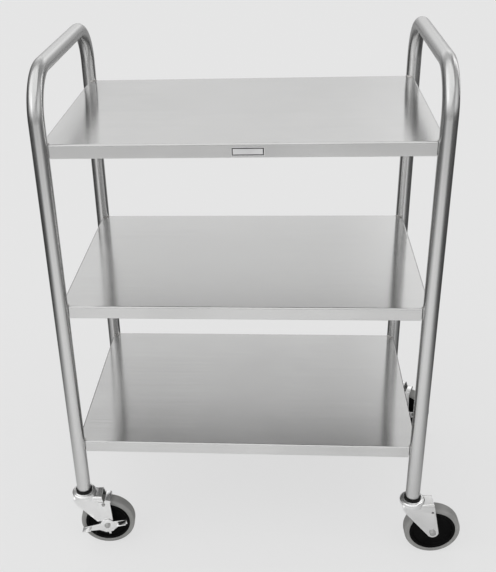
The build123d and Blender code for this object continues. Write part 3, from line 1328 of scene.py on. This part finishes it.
@dataclass
class Nameplate:
    """The bare plate on the front edge of the top shelf.

    Attributes:
        corner: Radius of its corners.
        rim: Width of its rim.
        line: Width of the dark groove inside the rim.
        groove: Depth of that groove.
        corner_steps: Faces across each rounded corner.
    """

    corner: float = 0.8 * MM
    rim: float = 0.9 * MM
    line: float = 1.5 * MM
    groove: float = 0.15 * MM
    corner_steps: int = 6

    def build(self, finish: bpy.types.Material, groove_finish: bpy.types.Material) -> bpy.types.Object:
        """Models the plate and dresses it.

        Args:
            finish: The plate's material.
            groove_finish: The material of the groove's floor.

        Returns:
            The finished object.
        """
        low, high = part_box("nameplate")
        work = bmesh.new()
        place = Matrix.Translation((low + high) / 2.0) @ Matrix.Diagonal((*(high - low), 1.0))
        bmesh.ops.create_cube(work, size=1.0, matrix=place)
        upright = [e for e in work.edges if abs(e.verts[0].co.y - e.verts[1].co.y) > MERGE_DISTANCE]
        front = [f for f in work.faces if f.normal.y < -FACING]
        self.frame(work, front, self.rim)
        framed = self.frame(work, front, self.line)
        sunk = bmesh.ops.extrude_face_region(work, geom=framed)
        bmesh.ops.delete(work, geom=framed, context="FACES_ONLY")
        bmesh.ops.translate(work, verts=points_of(sunk), vec=(0.0, self.groove, 0.0))
        for face in faces_of(sunk):
            face.material_index = 1
        round_edges(work, upright, self.corner, self.corner_steps)
        bmesh.ops.recalc_face_normals(work, faces=work.faces[:])
        map_grain(work, box_uv)
        fitting = Fitting("root", "plate_metal", ("nameplate",))
        plate = finished_object("bare_nameplate", work, finish, fitting)
        plate.data.materials.append(groove_finish)
        return plate

    @staticmethod
    def frame(
        work: bmesh.types.BMesh, middle: list[bmesh.types.BMFace], width: float
    ) -> list[bmesh.types.BMFace]:
        """Draws a frame inside the edge of a flat face, which shrinks to the frame's middle.

        Args:
            work: The mesh.
            middle: The flat face.
            width: The frame's width.

        Returns:
            The frame's faces.
        """
        made = bmesh.ops.inset_region(work, faces=middle, thickness=width, depth=0.0, use_even_offset=True)
        return made["faces"]


# Casters


@dataclass(frozen=True)
class RacewayCup:
    """Profile of the dished cup over the swivel balls.

    Attributes:
        seat: Height of its flat top, on which the insert's flange stands.
        foot: Height of the skirt's lower edge.
        radius: Outside radius of the skirt.
        bore: Radius of the stem's hole.
        sheet: Thickness of the flat top.
        flat_radius: Where the flat top ends.
        shoulder_radius: Where the shoulder is.
        shoulder_drop: How far the shoulder's outer face lies below the top.
        shoulder_inner_drop: How far its inner face does.
        brow_radius: Where the shoulder turns down into the skirt.
        brow_drop: How far that place lies below the top.
        skirt_wall: Thickness of the skirt.
        skirt_height: Height of the skirt's outer face.
        skirt_inner_height: Height of its inner face.
        bore_rounding: Rounding at the bore.
        flat_rounding: Rounding at the end of the flat top.
        shoulder_rounding: Rounding of the shoulder.
        brow_rounding: Rounding of the brow.
        skirt_rounding: Rounding at the top of the skirt.
        inner_rounding: Rounding of the two inner corners.
        lip_rounding: Rounding of the skirt's lower edge.
    """

    seat: float
    foot: float
    radius: float
    bore: float = 5.55 * MM
    sheet: float = 2.0 * MM
    flat_radius: float = 16.2 * MM
    shoulder_radius: float = 18.6 * MM
    shoulder_drop: float = 1.0 * MM
    shoulder_inner_drop: float = 2.4 * MM
    brow_radius: float = 20.6 * MM
    brow_drop: float = 1.3 * MM
    skirt_wall: float = 1.6 * MM
    skirt_height: float = 2.9 * MM
    skirt_inner_height: float = 1.7 * MM
    bore_rounding: float = 0.2 * MM
    flat_rounding: float = 0.9 * MM
    shoulder_rounding: float = 1.2 * MM
    brow_rounding: float = 1.0 * MM
    skirt_rounding: float = 0.8 * MM
    inner_rounding: float = 0.6 * MM
    lip_rounding: float = 0.35 * MM

    def ring(self) -> TurnedRing:
        """Returns the cup as a turned ring."""
        inner = self.radius - self.skirt_wall
        return TurnedRing(
            (
                Corner(self.bore, self.seat, self.bore_rounding),
                Corner(self.flat_radius, self.seat, self.flat_rounding),
                Corner(self.shoulder_radius, self.seat - self.shoulder_drop, self.shoulder_rounding),
                Corner(self.brow_radius, self.seat - self.brow_drop, self.brow_rounding),
                Corner(self.radius, self.foot + self.skirt_height, self.skirt_rounding),
                Corner(self.radius, self.foot, self.lip_rounding),
                Corner(inner, self.foot, self.lip_rounding),
                Corner(inner, self.foot + self.skirt_inner_height, self.inner_rounding),
                Corner(self.shoulder_radius, self.seat - self.shoulder_inner_drop, self.inner_rounding),
                Corner(self.bore, self.seat - self.sheet, self.bore_rounding),
            )
        )


@dataclass(frozen=True)
class Wheel:
    """Profiles of the tread and of the wheel's centre, each alike on both sides.

    Attributes:
        radius: Radius of the wheel.
        tread_half: Half the tread's width.
        tread_thickness: Thickness of the tread.
        tread_rounding: Rounding of the tread's shoulders.
        bead: Width of the tread's raised edge beside the centre.
        bead_step: How far that edge stands out from the tread's inner side.
        bead_rounding: Rounding of the raised edge.
        bore: Radius of the axle's hole.
        hub_half: Half the hub's length.
        hub_radius: Radius of the hub's end.
        hub_foot: Radius where the hub meets the web.
        web_half: Half the web's thickness.
        dish: Radial width from the dish's edge to the tread.
        rim: Radial width of the rim's flat side.
        rim_step: How far the rim's side lies inside the tread's.
        hub_rounding: Rounding of the hub's end.
        foot_rounding: Rounding where the hub meets the web.
        dish_rounding: Rounding at the dish's edge.
        rim_rounding: Rounding of the rim's inner edge.
        rim_outer_rounding: Rounding of its outer edge.
        fine_rounding: Rounding of the small edges.
        steps: Faces round the wheel.
    """

    radius: float
    tread_half: float = 11.9 * MM
    tread_thickness: float = 8.8 * MM
    tread_rounding: float = 4.3 * MM
    bead: float = 2.6 * MM
    bead_step: float = 0.5 * MM
    bead_rounding: float = 1.4 * MM
    bore: float = 4.855 * MM
    hub_half: float = 13.9 * MM
    hub_radius: float = 10.2 * MM
    hub_foot: float = 11.6 * MM
    web_half: float = 6.5 * MM
    dish: float = 7.4 * MM
    rim: float = 5.2 * MM
    rim_step: float = 0.8 * MM
    hub_rounding: float = 0.8 * MM
    foot_rounding: float = 1.6 * MM
    dish_rounding: float = 2.2 * MM
    rim_rounding: float = 0.9 * MM
    rim_outer_rounding: float = 0.4 * MM
    fine_rounding: float = 0.3 * MM
    steps: int = 112

    @property
    def core(self) -> float:
        """Radius of the wheel's centre, where the tread begins."""
        return self.radius - self.tread_thickness

    def both_sides(self, *profile: Corner) -> TurnedRing:
        """Ring of a profile and its mirror image.

        Args:
            *profile: Corners of one side.

        Returns:
            The turned ring.
        """
        mirrored = tuple(Corner(c.radius, -c.height, c.rounding) for c in reversed(profile))
        return TurnedRing(profile + mirrored, steps=self.steps)

    def tread(self) -> TurnedRing:
        """Returns the tread as a turned ring."""
        return self.both_sides(
            Corner(self.radius, self.tread_half, self.tread_rounding),
            Corner(self.core + self.bead, self.tread_half, self.bead_rounding),
            Corner(self.core, self.tread_half - self.bead_step, self.fine_rounding),
        )

    def centre(self) -> TurnedRing:
        """Returns the wheel's centre as a turned ring."""
        rim_side = self.tread_half - self.rim_step
        return self.both_sides(
            Corner(self.bore, self.hub_half, self.fine_rounding),
            Corner(self.hub_radius, self.hub_half, self.hub_rounding),
            Corner(self.hub_foot, self.web_half, self.foot_rounding),
            Corner(self.core - self.dish, self.web_half, self.dish_rounding),
            Corner(self.core - self.rim, rim_side, self.rim_rounding),
            Corner(self.core, rim_side, self.rim_outer_rounding),
        )


@dataclass(frozen=True)
class EasedPiece:
    """A caster's piece that keeps the solid's shape, with its sharp edges eased.

    Attributes:
        piece: The piece's name within the caster.
        body: Its body: root, or the body's name within the caster.
        slot: Its material slot.
        edge: Width of its eased edges.
    """

    piece: str
    body: str
    slot: str
    edge: float


@dataclass
class Caster:
    """One swivel caster, from the insert in the tube to the tread.

    Attributes:
        name: Place on the cart, as the frame's nodes are named.
        stem: The stem's axis on the floor.
        axle: The axle's middle.
        nodes: Names of all the frame's nodes.
        eased: Pieces that every caster has.
        brake: Pieces that only a braked caster has.
    """

    name: str
    stem: Vector
    axle: Vector
    nodes: frozenset[str]
    eased: tuple[EasedPiece, ...] = (
        EasedPiece("expander", "root", "black_rubber", edge=0.5 * MM),
        EasedPiece("lower_race", "root", "caster_zinc", edge=0.25 * MM),
        EasedPiece("fork", "swivel", "caster_zinc", edge=0.35 * MM),
        EasedPiece("axle_bolt", "swivel", "fastener_steel", edge=0.3 * MM),
        EasedPiece("axle_nut", "swivel", "fastener_steel", edge=0.3 * MM),
        EasedPiece("axle_sleeve", "swivel", "fastener_steel", edge=0.15 * MM),
    )
    brake: tuple[EasedPiece, ...] = (
        EasedPiece("brake_slide", "brake_slide", "caster_zinc", edge=0.3 * MM),
        EasedPiece("brake_shoe", "brake_slide", "caster_zinc", edge=0.4 * MM),
        EasedPiece("brake_lever", "brake_lever", "caster_zinc", edge=0.35 * MM),
        EasedPiece("guide_rivet", "swivel", "fastener_steel", edge=0.25 * MM),
    )

    @property
    def braked(self) -> bool:
        """Whether this caster has a brake."""
        return f"{self.name}_brake_lever" in self.nodes

    @property
    def stem_place(self) -> Matrix:
        """Place of the stem's axis, with X the way the wheel trails."""
        trail = self.axle - self.stem
        return Matrix.Translation(self.stem) @ Matrix.Rotation(math.atan2(trail.y, trail.x), 4, "Z")

    @property
    def axle_place(self) -> Matrix:
        """Place of the axle, with Z out of the fork's front face."""
        lead = math.hypot(self.axle.x - self.stem.x, self.axle.y - self.stem.y)
        middle = self.stem_place @ Matrix.Translation((lead, 0.0, self.axle.z))
        return middle @ Matrix.Rotation(QUARTER_TURN, 4, "X")

    def fitting(self, piece: str, body: str, slot: str) -> Fitting:
        """Fitting of one piece of this caster.

        Args:
            piece: The piece's name within the caster.
            body: Its body: root, or the body's name within the caster.
            slot: Its material slot.

        Returns:
            The fitting.
        """
        carrier = body if body == "root" else f"{self.name}_{body}"
        return Fitting(carrier, slot, (f"{self.name}_{piece}",))

    def turned(
        self, piece: str, shape: TurnedRing, place: Matrix, finish: bpy.types.Material, fitting: Fitting
    ) -> bpy.types.Object:
        """Turns, places and dresses one round piece.

        Args:
            piece: The new object's name within the caster.
            shape: Its profile.
            place: Its axis.
            finish: Its material.
            fitting: Its body, slot and nodes.

        Returns:
            The finished object.
        """
        work = shape.build()
        map_grain(work, box_uv)
        bmesh.ops.transform(work, matrix=place, verts=work.verts[:])
        return finished_object(f"{self.name}_{piece}", work, finish, fitting)

    def build(self, finishes: Finishes) -> None:
        """Models and dresses the caster.

        Args:
            finishes: The cart's finishes.
        """
        self.bearing(finishes)
        self.wheel(finishes)
        metals = {
            "black_rubber": finishes.black_rubber,
            "caster_zinc": finishes.zinc,
            "fastener_steel": finishes.fastener,
        }
        for part in self.eased + (self.brake if self.braked else ()):
            fitting = self.fitting(part.piece, part.body, part.slot)
            eased_copy(f"{self.name}_{part.piece}", metals[part.slot], fitting, part.edge)

    def bearing(self, finishes: Finishes) -> None:
        """Cup and balls of the swivel bearing.

        Args:
            finishes: The cart's finishes.
        """
        low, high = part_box(f"{self.name}_upper_race")
        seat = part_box(f"{self.name}_expander")[0].z
        cup = RacewayCup(seat=seat, foot=low.z, radius=(high.x - low.x) / 2.0)
        fitting = self.fitting("upper_race", "root", "caster_zinc")
        self.turned("raceway_cup", cup.ring(), self.stem_place, finishes.zinc, fitting)
        dress_node(f"{self.name}_ball_ring", finishes.ball)

    def wheel(self, finishes: Finishes) -> None:
        """Tread and wheel centre.

        Args:
            finishes: The cart's finishes.
        """
        wheel = Wheel(radius=self.axle.z)
        fitting = self.fitting("tyre", "wheel", "tread_rubber")
        self.turned("tread", wheel.tread(), self.axle_place, finishes.tread, fitting)
        fitting = self.fitting("wheel_core", "wheel", "wheel_plastic")
        self.turned("wheel_centre", wheel.centre(), self.axle_place, finishes.wheel_plastic, fitting)


def dress_node(node: str, finish: bpy.types.Material) -> None:
    """Gives a frame node that stays shown its material.

    Args:
        node: The node's name.
        finish: Its material.
    """
    mesh = bpy.data.objects[node].data
    mesh.materials.clear()
    mesh.materials.append(finish)
    log.info("%s: stays shown, with %s", node, finish.name)


# Studio


def add_dot(
    tree: bpy.types.NodeTree, vector: bpy.types.NodeSocket, toward: Sequence[float]
) -> bpy.types.NodeSocket:
    """Adds the dot product of a vector and a fixed direction.

    Args:
        tree: The node tree.
        vector: The vector.
        toward: The fixed direction.

    Returns:
        The product.
    """
    node = tree.nodes.new("ShaderNodeVectorMath")
    node.operation = "DOT_PRODUCT"
    tree.links.new(vector, node.inputs[0])
    node.inputs[1].default_value = toward
    return node.outputs["Value"]


def add_fade(
    tree: bpy.types.NodeTree, value: bpy.types.NodeSocket, faded: float, full: float, level: float = 1.0
) -> bpy.types.NodeSocket:
    """Adds a soft step from nothing to a level.

    Args:
        tree: The node tree.
        value: What the step follows.
        faded: Value at which nothing is left.
        full: Value at which the level is full.
        level: The full level.

    Returns:
        The step's result.
    """
    node = tree.nodes.new("ShaderNodeMapRange")
    node.interpolation_type = "SMOOTHSTEP"
    node.inputs["From Min"].default_value = faded
    node.inputs["From Max"].default_value = full
    node.inputs["To Max"].default_value = level
    tree.links.new(value, node.inputs["Value"])
    return node.outputs["Result"]


@dataclass(frozen=True)
class Glow:
    """One soft patch of light in the world.

    Attributes:
        toward: Direction of its middle.
        inner: Angle from the middle within which it is full.
        outer: Angle from the middle at which it has faded.
        strength: How much it adds, where one is white.
    """

    toward: Triple
    inner: float
    outer: float
    strength: float

    def add(self, tree: bpy.types.NodeTree, direction: bpy.types.NodeSocket) -> bpy.types.NodeSocket:
        """Adds the patch to the world.

        Args:
            tree: The world's node tree.
            direction: The direction looked in.

        Returns:
            How much light it adds in that direction.
        """
        near = add_dot(tree, direction, Vector(self.toward).normalized())
        return add_fade(tree, near, math.cos(self.outer), math.cos(self.inner), self.strength)


@dataclass(frozen=True)
class Screen:
    """A tall soft screen of light at one side of the cart.

    Attributes:
        toward: X and Y of the direction of its middle.
        stops: Elevations in degrees and the brightness that the screen adds at each, where one is white.
        full: Angle to either side within which it is full.
        faded: Angle to either side at which it has faded.
    """

    toward: tuple[float, float]
    stops: tuple[tuple[float, float], ...]
    full: float
    faded: float

    @property
    def brightest(self) -> float:
        """Largest brightness of the screen."""
        return max(level for _elevation, level in self.stops)

    def add(self, tree: bpy.types.NodeTree, direction: bpy.types.NodeSocket) -> bpy.types.NodeSocket:
        """Adds the screen to the world.

        Args:
            tree: The world's node tree.
            direction: The direction looked in.

        Returns:
            How much light it adds in that direction.
        """
        axes = tree.nodes.new("ShaderNodeSeparateXYZ")
        tree.links.new(direction, axes.inputs[0])
        level_way = tree.nodes.new("ShaderNodeCombineXYZ")
        tree.links.new(axes.outputs["X"], level_way.inputs["X"])
        tree.links.new(axes.outputs["Y"], level_way.inputs["Y"])
        unit = tree.nodes.new("ShaderNodeVectorMath")
        unit.operation = "NORMALIZE"
        tree.links.new(level_way.outputs["Vector"], unit.inputs[0])
        near = add_dot(tree, unit.outputs["Vector"], (*self.toward, 0.0))
        fade = add_fade(tree, near, math.cos(self.faded), math.cos(self.full), self.brightest)
        return add_math(tree, "MULTIPLY", self.ramp(tree, axes.outputs["Z"]), fade)

    def ramp(self, tree: bpy.types.NodeTree, upward: bpy.types.NodeSocket) -> bpy.types.NodeSocket:
        """Adds the screen's brightness by elevation, as shares of its brightest level.

        Args:
            tree: The world's node tree.
            upward: The upward part of the direction looked in.

        Returns:
            The share.
        """
        ramp = tree.nodes.new("ShaderNodeValToRGB")
        ramp.color_ramp.interpolation = "EASE"
        points = ramp.color_ramp.elements
        while len(points) < len(self.stops):
            points.new(0.5)
        for point, (elevation, level) in zip(points, self.stops):
            grey = level / self.brightest
            point.position = math.sin(math.radians(elevation))
            point.color = (grey, grey, grey, 1.0)
        tree.links.new(upward, ramp.inputs["Fac"])
        return ramp.outputs["Color"]


@dataclass(frozen=True)
class PoolEdge:
    """One soft straight edge of a pool of light.

    Attributes:
        toward: X and Y of the direction in which the pool fades.
        full: How far that way, from the frame's middle, the pool is full.
        faded: How far that way it has faded.
    """

    toward: tuple[float, float]
    full: float
    faded: float


@dataclass(frozen=True)
class Pool:
    """A pool of light on the floor that only reflections see.

    Attributes:
        level: How much brightness it adds.
        edges: Its soft edges.
    """

    level: float
    edges: tuple[PoolEdge, ...]

    def add(self, tree: bpy.types.NodeTree, place: bpy.types.NodeSocket) -> bpy.types.NodeSocket:
        """Adds the pool to the floor's material.

        Args:
            tree: The floor's node tree.
            place: The place on the floor.

        Returns:
            How much brightness it adds there.
        """
        level = self.level
        for edge in self.edges:
            away = add_dot(tree, place, (*edge.toward, 0.0))
            level = add_math(tree, "MULTIPLY", add_fade(tree, away, edge.faded, edge.full), level)
        return level


@dataclass(frozen=True)
class StripBox:
    """A tall strip light that only reflections see.

    Attributes:
        name: Its name.
        place: Its middle.
        width: Its width.
        height: Its height.
        power: Its power in watts.
        aim: Where it points.
    """

    name: str
    place: Triple
    width: float
    height: float
    power: float
    aim: Triple = (0.0, 0.0, 0.6)

    def build(self) -> None:
        """Makes the strip light."""
        light = bpy.data.lights.new(self.name, "AREA")
        light.shape = "RECTANGLE"
        light.size, light.size_y = self.width, self.height
        light.energy = self.power
        lamp = bpy.data.objects.new(self.name, light)
        bpy.context.scene.collection.objects.link(lamp)
        lamp.location = self.place
        lamp.rotation_euler = (Vector(self.aim) - Vector(self.place)).to_track_quat("-Z", "Y").to_euler()
        lamp.visible_diffuse = False
        lamp.visible_camera = False


@dataclass(frozen=True)
class KeyLight:
    """The wide soft light from above that draws the shadow.

    Attributes:
        energy: Its strength.
        angle: How wide it looks from the cart.
        way: The way it shines.
    """

    energy: float = 1.65
    angle: float = math.radians(100.0)
    way: Triple = (0.35, 0.45, -1.0)

    def build(self) -> None:
        """Makes the light."""
        key = bpy.data.lights.new("soft_key", "SUN")
        key.energy = self.energy
        key.angle = self.angle
        lamp = bpy.data.objects.new("soft_key", key)
        bpy.context.scene.collection.objects.link(lamp)
        lamp.rotation_euler = Vector(self.way).to_track_quat("-Z", "Y").to_euler()


@dataclass(frozen=True)
class PhotoCamera:
    """The photograph's camera, as fitted to it.

    Attributes:
        width: Width of the picture in pixels.
        height: Height of the picture in pixels.
        focal: Focal length in pixels.
        axis: Where the lens's axis meets the picture, in pixels from its top left corner.
        yaw: Turn to the right, in radians.
        pitch: Turn downwards.
        roll: Turn about the lens's axis.
        place: Place in the frame.
        sensor: Length of the sensor's long side in millimetres.
        near: Nearest distance seen.
        far: Farthest distance seen.
    """

    width: float = 496.0
    height: float = 572.0
    focal: float = 875.6
    axis: tuple[float, float] = (210.0, 306.42)
    yaw: float = -0.0926
    pitch: float = 0.4961
    roll: float = 0.0378
    place: Triple = (0.0637682, -1.4609815, 1.2034503)
    sensor: float = 36.0
    near: float = 0.05
    far: float = 100.0

    def build(self) -> None:
        """Makes the camera and sets it."""
        data = bpy.data.cameras.new("photo_camera")
        data.sensor_width = self.sensor
        data.lens = self.focal * self.sensor / self.height
        data.shift_x = (self.width / 2.0 - self.axis[0]) / self.height
        data.shift_y = (self.axis[1] - self.height / 2.0) / self.height
        data.clip_start, data.clip_end = self.near, self.far
        camera = bpy.data.objects.new("photo_camera", data)
        bpy.context.scene.collection.objects.link(camera)
        look = Matrix.Rotation(-self.yaw, 4, "Z") @ Matrix.Rotation(QUARTER_TURN - self.pitch, 4, "X")
        camera.matrix_world = Matrix.Translation(self.place) @ look @ Matrix.Rotation(-self.roll, 4, "Z")
        bpy.context.scene.camera = camera


FRONT_POOL = Pool(
    level=1.09,
    edges=(
        PoolEdge((0.9, 0.436), full=-0.3, faded=1.15),
        PoolEdge((-0.9, 0.436), full=-0.2, faded=1.3),
        PoolEdge((0.0, 1.0), full=-0.25, faded=0.6),
        PoolEdge((0.0, -1.0), full=1.6, faded=5.2),
    ),
)
BACK_POOL = Pool(
    level=0.38,
    edges=(
        PoolEdge((0.0, -1.0), full=-2.0, faded=-0.6),
        PoolEdge((0.9, -0.436), full=0.2, faded=1.2),
        PoolEdge((-0.9, -0.436), full=0.2, faded=1.2),
    ),
)
BACK_SCREEN = Screen(
    toward=(0.0, 1.0),
    stops=(
        (0.0, 0.50),
        (8.0, 0.52),
        (12.0, 0.60),
        (16.0, 1.06),
        (20.0, 1.14),
        (24.0, 1.24),
        (28.0, 1.14),
        (33.0, 0.68),
        (42.0, 0.44),
        (55.0, 0.28),
        (90.0, 0.22),
    ),
    full=math.radians(14.0),
    faded=math.radians(42.0),
)
FRONT_SCREEN = Screen(
    toward=(0.0, -1.0),
    stops=((0.0, 0.66), (10.0, 0.60), (20.0, 0.30), (38.0, 0.06), (90.0, 0.0)),
    full=math.radians(45.0),
    faded=math.radians(110.0),
)
SIDE_SCREENS = tuple(
    Screen(
        toward=(side, 0.0),
        stops=((0.0, 0.0), (10.0, 0.08), (24.0, 0.32), (45.0, 0.28), (90.0, 0.0)),
        full=math.radians(20.0),
        faded=math.radians(70.0),
    )
    for side in (1.0, -1.0)
)
BACK_GLOW = Glow((0.27, 1.0, 0.52), inner=math.radians(3.0), outer=math.radians(11.0), strength=0.40)
RIGHT_GLOW = Glow((0.97, -0.26, 0.09), inner=math.radians(15.0), outer=math.radians(42.0), strength=0.34)
TOP_GLOW = Glow(UPWARD, inner=math.radians(15.0), outer=math.radians(60.0), strength=0.15)
LEFT_STRIP = StripBox("left_strip", (-0.95, -1.05, 1.25), width=0.36, height=0.9, power=0.45)
RIGHT_STRIP = StripBox("right_strip", (0.98, 0.50, 1.15), width=0.22, height=0.9, power=1.3)


@dataclass(frozen=True)
class Studio:
    """Floor, surroundings, lamps and camera.

    Attributes:
        backdrop: Brightness of the background, where one is white.
        floor_size: Length of the floor's sides.
        even_share: Share of the background that keeps no shadow.
        dim: Brightness of the dark surroundings.
        pools: Pools of light that reflections see on the floor.
        screens: Tall soft screens round the cart.
        glows: Soft patches of light round the cart.
        strips: Strip lights beside the cart.
        key: The light from above.
        camera: The camera.
    """

    backdrop: float = 0.806
    floor_size: float = 30.0
    even_share: float = 0.8
    dim: float = 0.08
    pools: tuple[Pool, ...] = (FRONT_POOL, BACK_POOL)
    screens: tuple[Screen, ...] = (BACK_SCREEN, FRONT_SCREEN, *SIDE_SCREENS)
    glows: tuple[Glow, ...] = (BACK_GLOW, RIGHT_GLOW, TOP_GLOW)
    strips: tuple[StripBox, ...] = (LEFT_STRIP, RIGHT_STRIP)
    key: KeyLight = KeyLight()
    camera: PhotoCamera = PhotoCamera()

    def build(self) -> None:
        """Makes the whole studio."""
        self.floor()
        self.world()
        self.key.build()
        for strip in self.strips:
            strip.build()
        self.camera.build()
        log.info("studio: %d screens and %d strips", len(self.screens), len(self.strips))

    def floor(self) -> None:
        """Plain pale floor that keeps the cart's shadow, and shows pools of light in reflections."""
        work = bmesh.new()
        bmesh.ops.create_grid(work, x_segments=2, y_segments=2, size=self.floor_size / 2.0)
        mesh = bpy.data.meshes.new("floor")
        work.to_mesh(mesh)
        work.free()
        floor = bpy.data.objects.new("floor", mesh)
        bpy.context.scene.collection.objects.link(floor)
        dress = Dresser("pale_floor")
        grey = self.backdrop
        shadowed = grey * (1.0 - self.even_share)
        dress.set({"Roughness": 1.0, "Specular IOR Level": 0.0, "Emission Color": (grey, grey, grey, 1.0)})
        path = dress.tree.nodes.new("ShaderNodeLightPath")
        level = self.dim
        for pool in self.pools:
            level = add_math(dress.tree, "ADD", pool.add(dress.tree, dress.object_place), level)
        reflected = dress.tree.nodes.new("ShaderNodeCombineXYZ")
        for axis in reflected.inputs:
            dress.tree.links.new(level, axis)
        seen = dress.mix(path.outputs["Is Camera Ray"], (grey, grey, grey), (shadowed, shadowed, shadowed))
        either = dress.tree.nodes.new("ShaderNodeMix")
        either.data_type = "RGBA"
        dress.tree.links.new(path.outputs["Is Glossy Ray"], either.inputs["Factor"])
        dress.tree.links.new(seen, either.inputs["A"])
        dress.tree.links.new(reflected.outputs["Vector"], either.inputs["B"])
        dress.link(either.outputs["Result"], "Base Color")
        even = add_math(dress.tree, "MULTIPLY", path.outputs["Is Camera Ray"], self.even_share)
        dress.link(even, "Emission Strength")
        mesh.materials.append(dress.material)

    def world(self) -> None:
        """Dim surroundings with soft light behind, above, in front and beside, plain to the camera."""
        world = bpy.data.worlds.new("studio")
        bpy.context.scene.world = world
        world.use_nodes = True
        tree = world.node_tree
        direction = tree.nodes.new("ShaderNodeTexCoord").outputs["Generated"]
        level = self.dim
        for light in (*self.screens, *self.glows):
            level = add_math(tree, "ADD", light.add(tree, direction), level)
        path = tree.nodes.new("ShaderNodeLightPath")
        seen = tree.nodes.new("ShaderNodeMix")
        seen.data_type = "FLOAT"
        tree.links.new(path.outputs["Is Camera Ray"], seen.inputs["Factor"])
        tree.links.new(level, seen.inputs["A"])
        seen.inputs["B"].default_value = self.backdrop
        background = next(n for n in tree.nodes if n.type == "BACKGROUND")
        background.inputs["Color"].default_value = (1.0, 1.0, 1.0, 1.0)
        tree.links.new(seen.outputs["Result"], background.inputs["Strength"])


def joint_place(joints: Sequence[dict], name: str) -> Vector:
    """Place of a joint in the frame.

    Args:
        joints: The frame's joints.
        name: The joint's name.

    Returns:
        Its place.
    """
    return Vector(next(j for j in joints if j["name"] == name)["pos_m"])


def main() -> None:
    """Builds the cart's looks and the studio round them."""
    logging.basicConfig(level=logging.INFO, format="%(name)s: %(message)s")
    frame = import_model()
    finishes = Finishes(Effects())
    tubes = [EndFrame(side) for side in ("left", "right")]
    for tube in tubes:
        tube.build(finishes.tube)
    shelves = [ShelfPan(level) for level in ("bottom", "middle", "top")]
    for shelf in shelves:
        shelf.build(finishes.shelf)
    CornerWelds().build(finishes.weld, tubes[1], shelves)
    Nameplate().build(finishes.plate, finishes.plate_groove)
    for node in ("caster_stems", "expander_nuts"):
        dress_node(node, finishes.fastener)
    nodes = frozenset(frame["nodes"])
    for name in ("front_left", "front_right", "rear_left", "rear_right"):
        stem = joint_place(frame["joints"], f"{name}_swivel_turn")
        stem.z = 0.0
        Caster(name, stem, joint_place(frame["joints"], f"{name}_wheel_spin"), nodes).build(finishes)
    Studio().build()
    bpy.context.scene.view_settings.view_transform = "Standard"


if __name__ == "__main__":
    main()
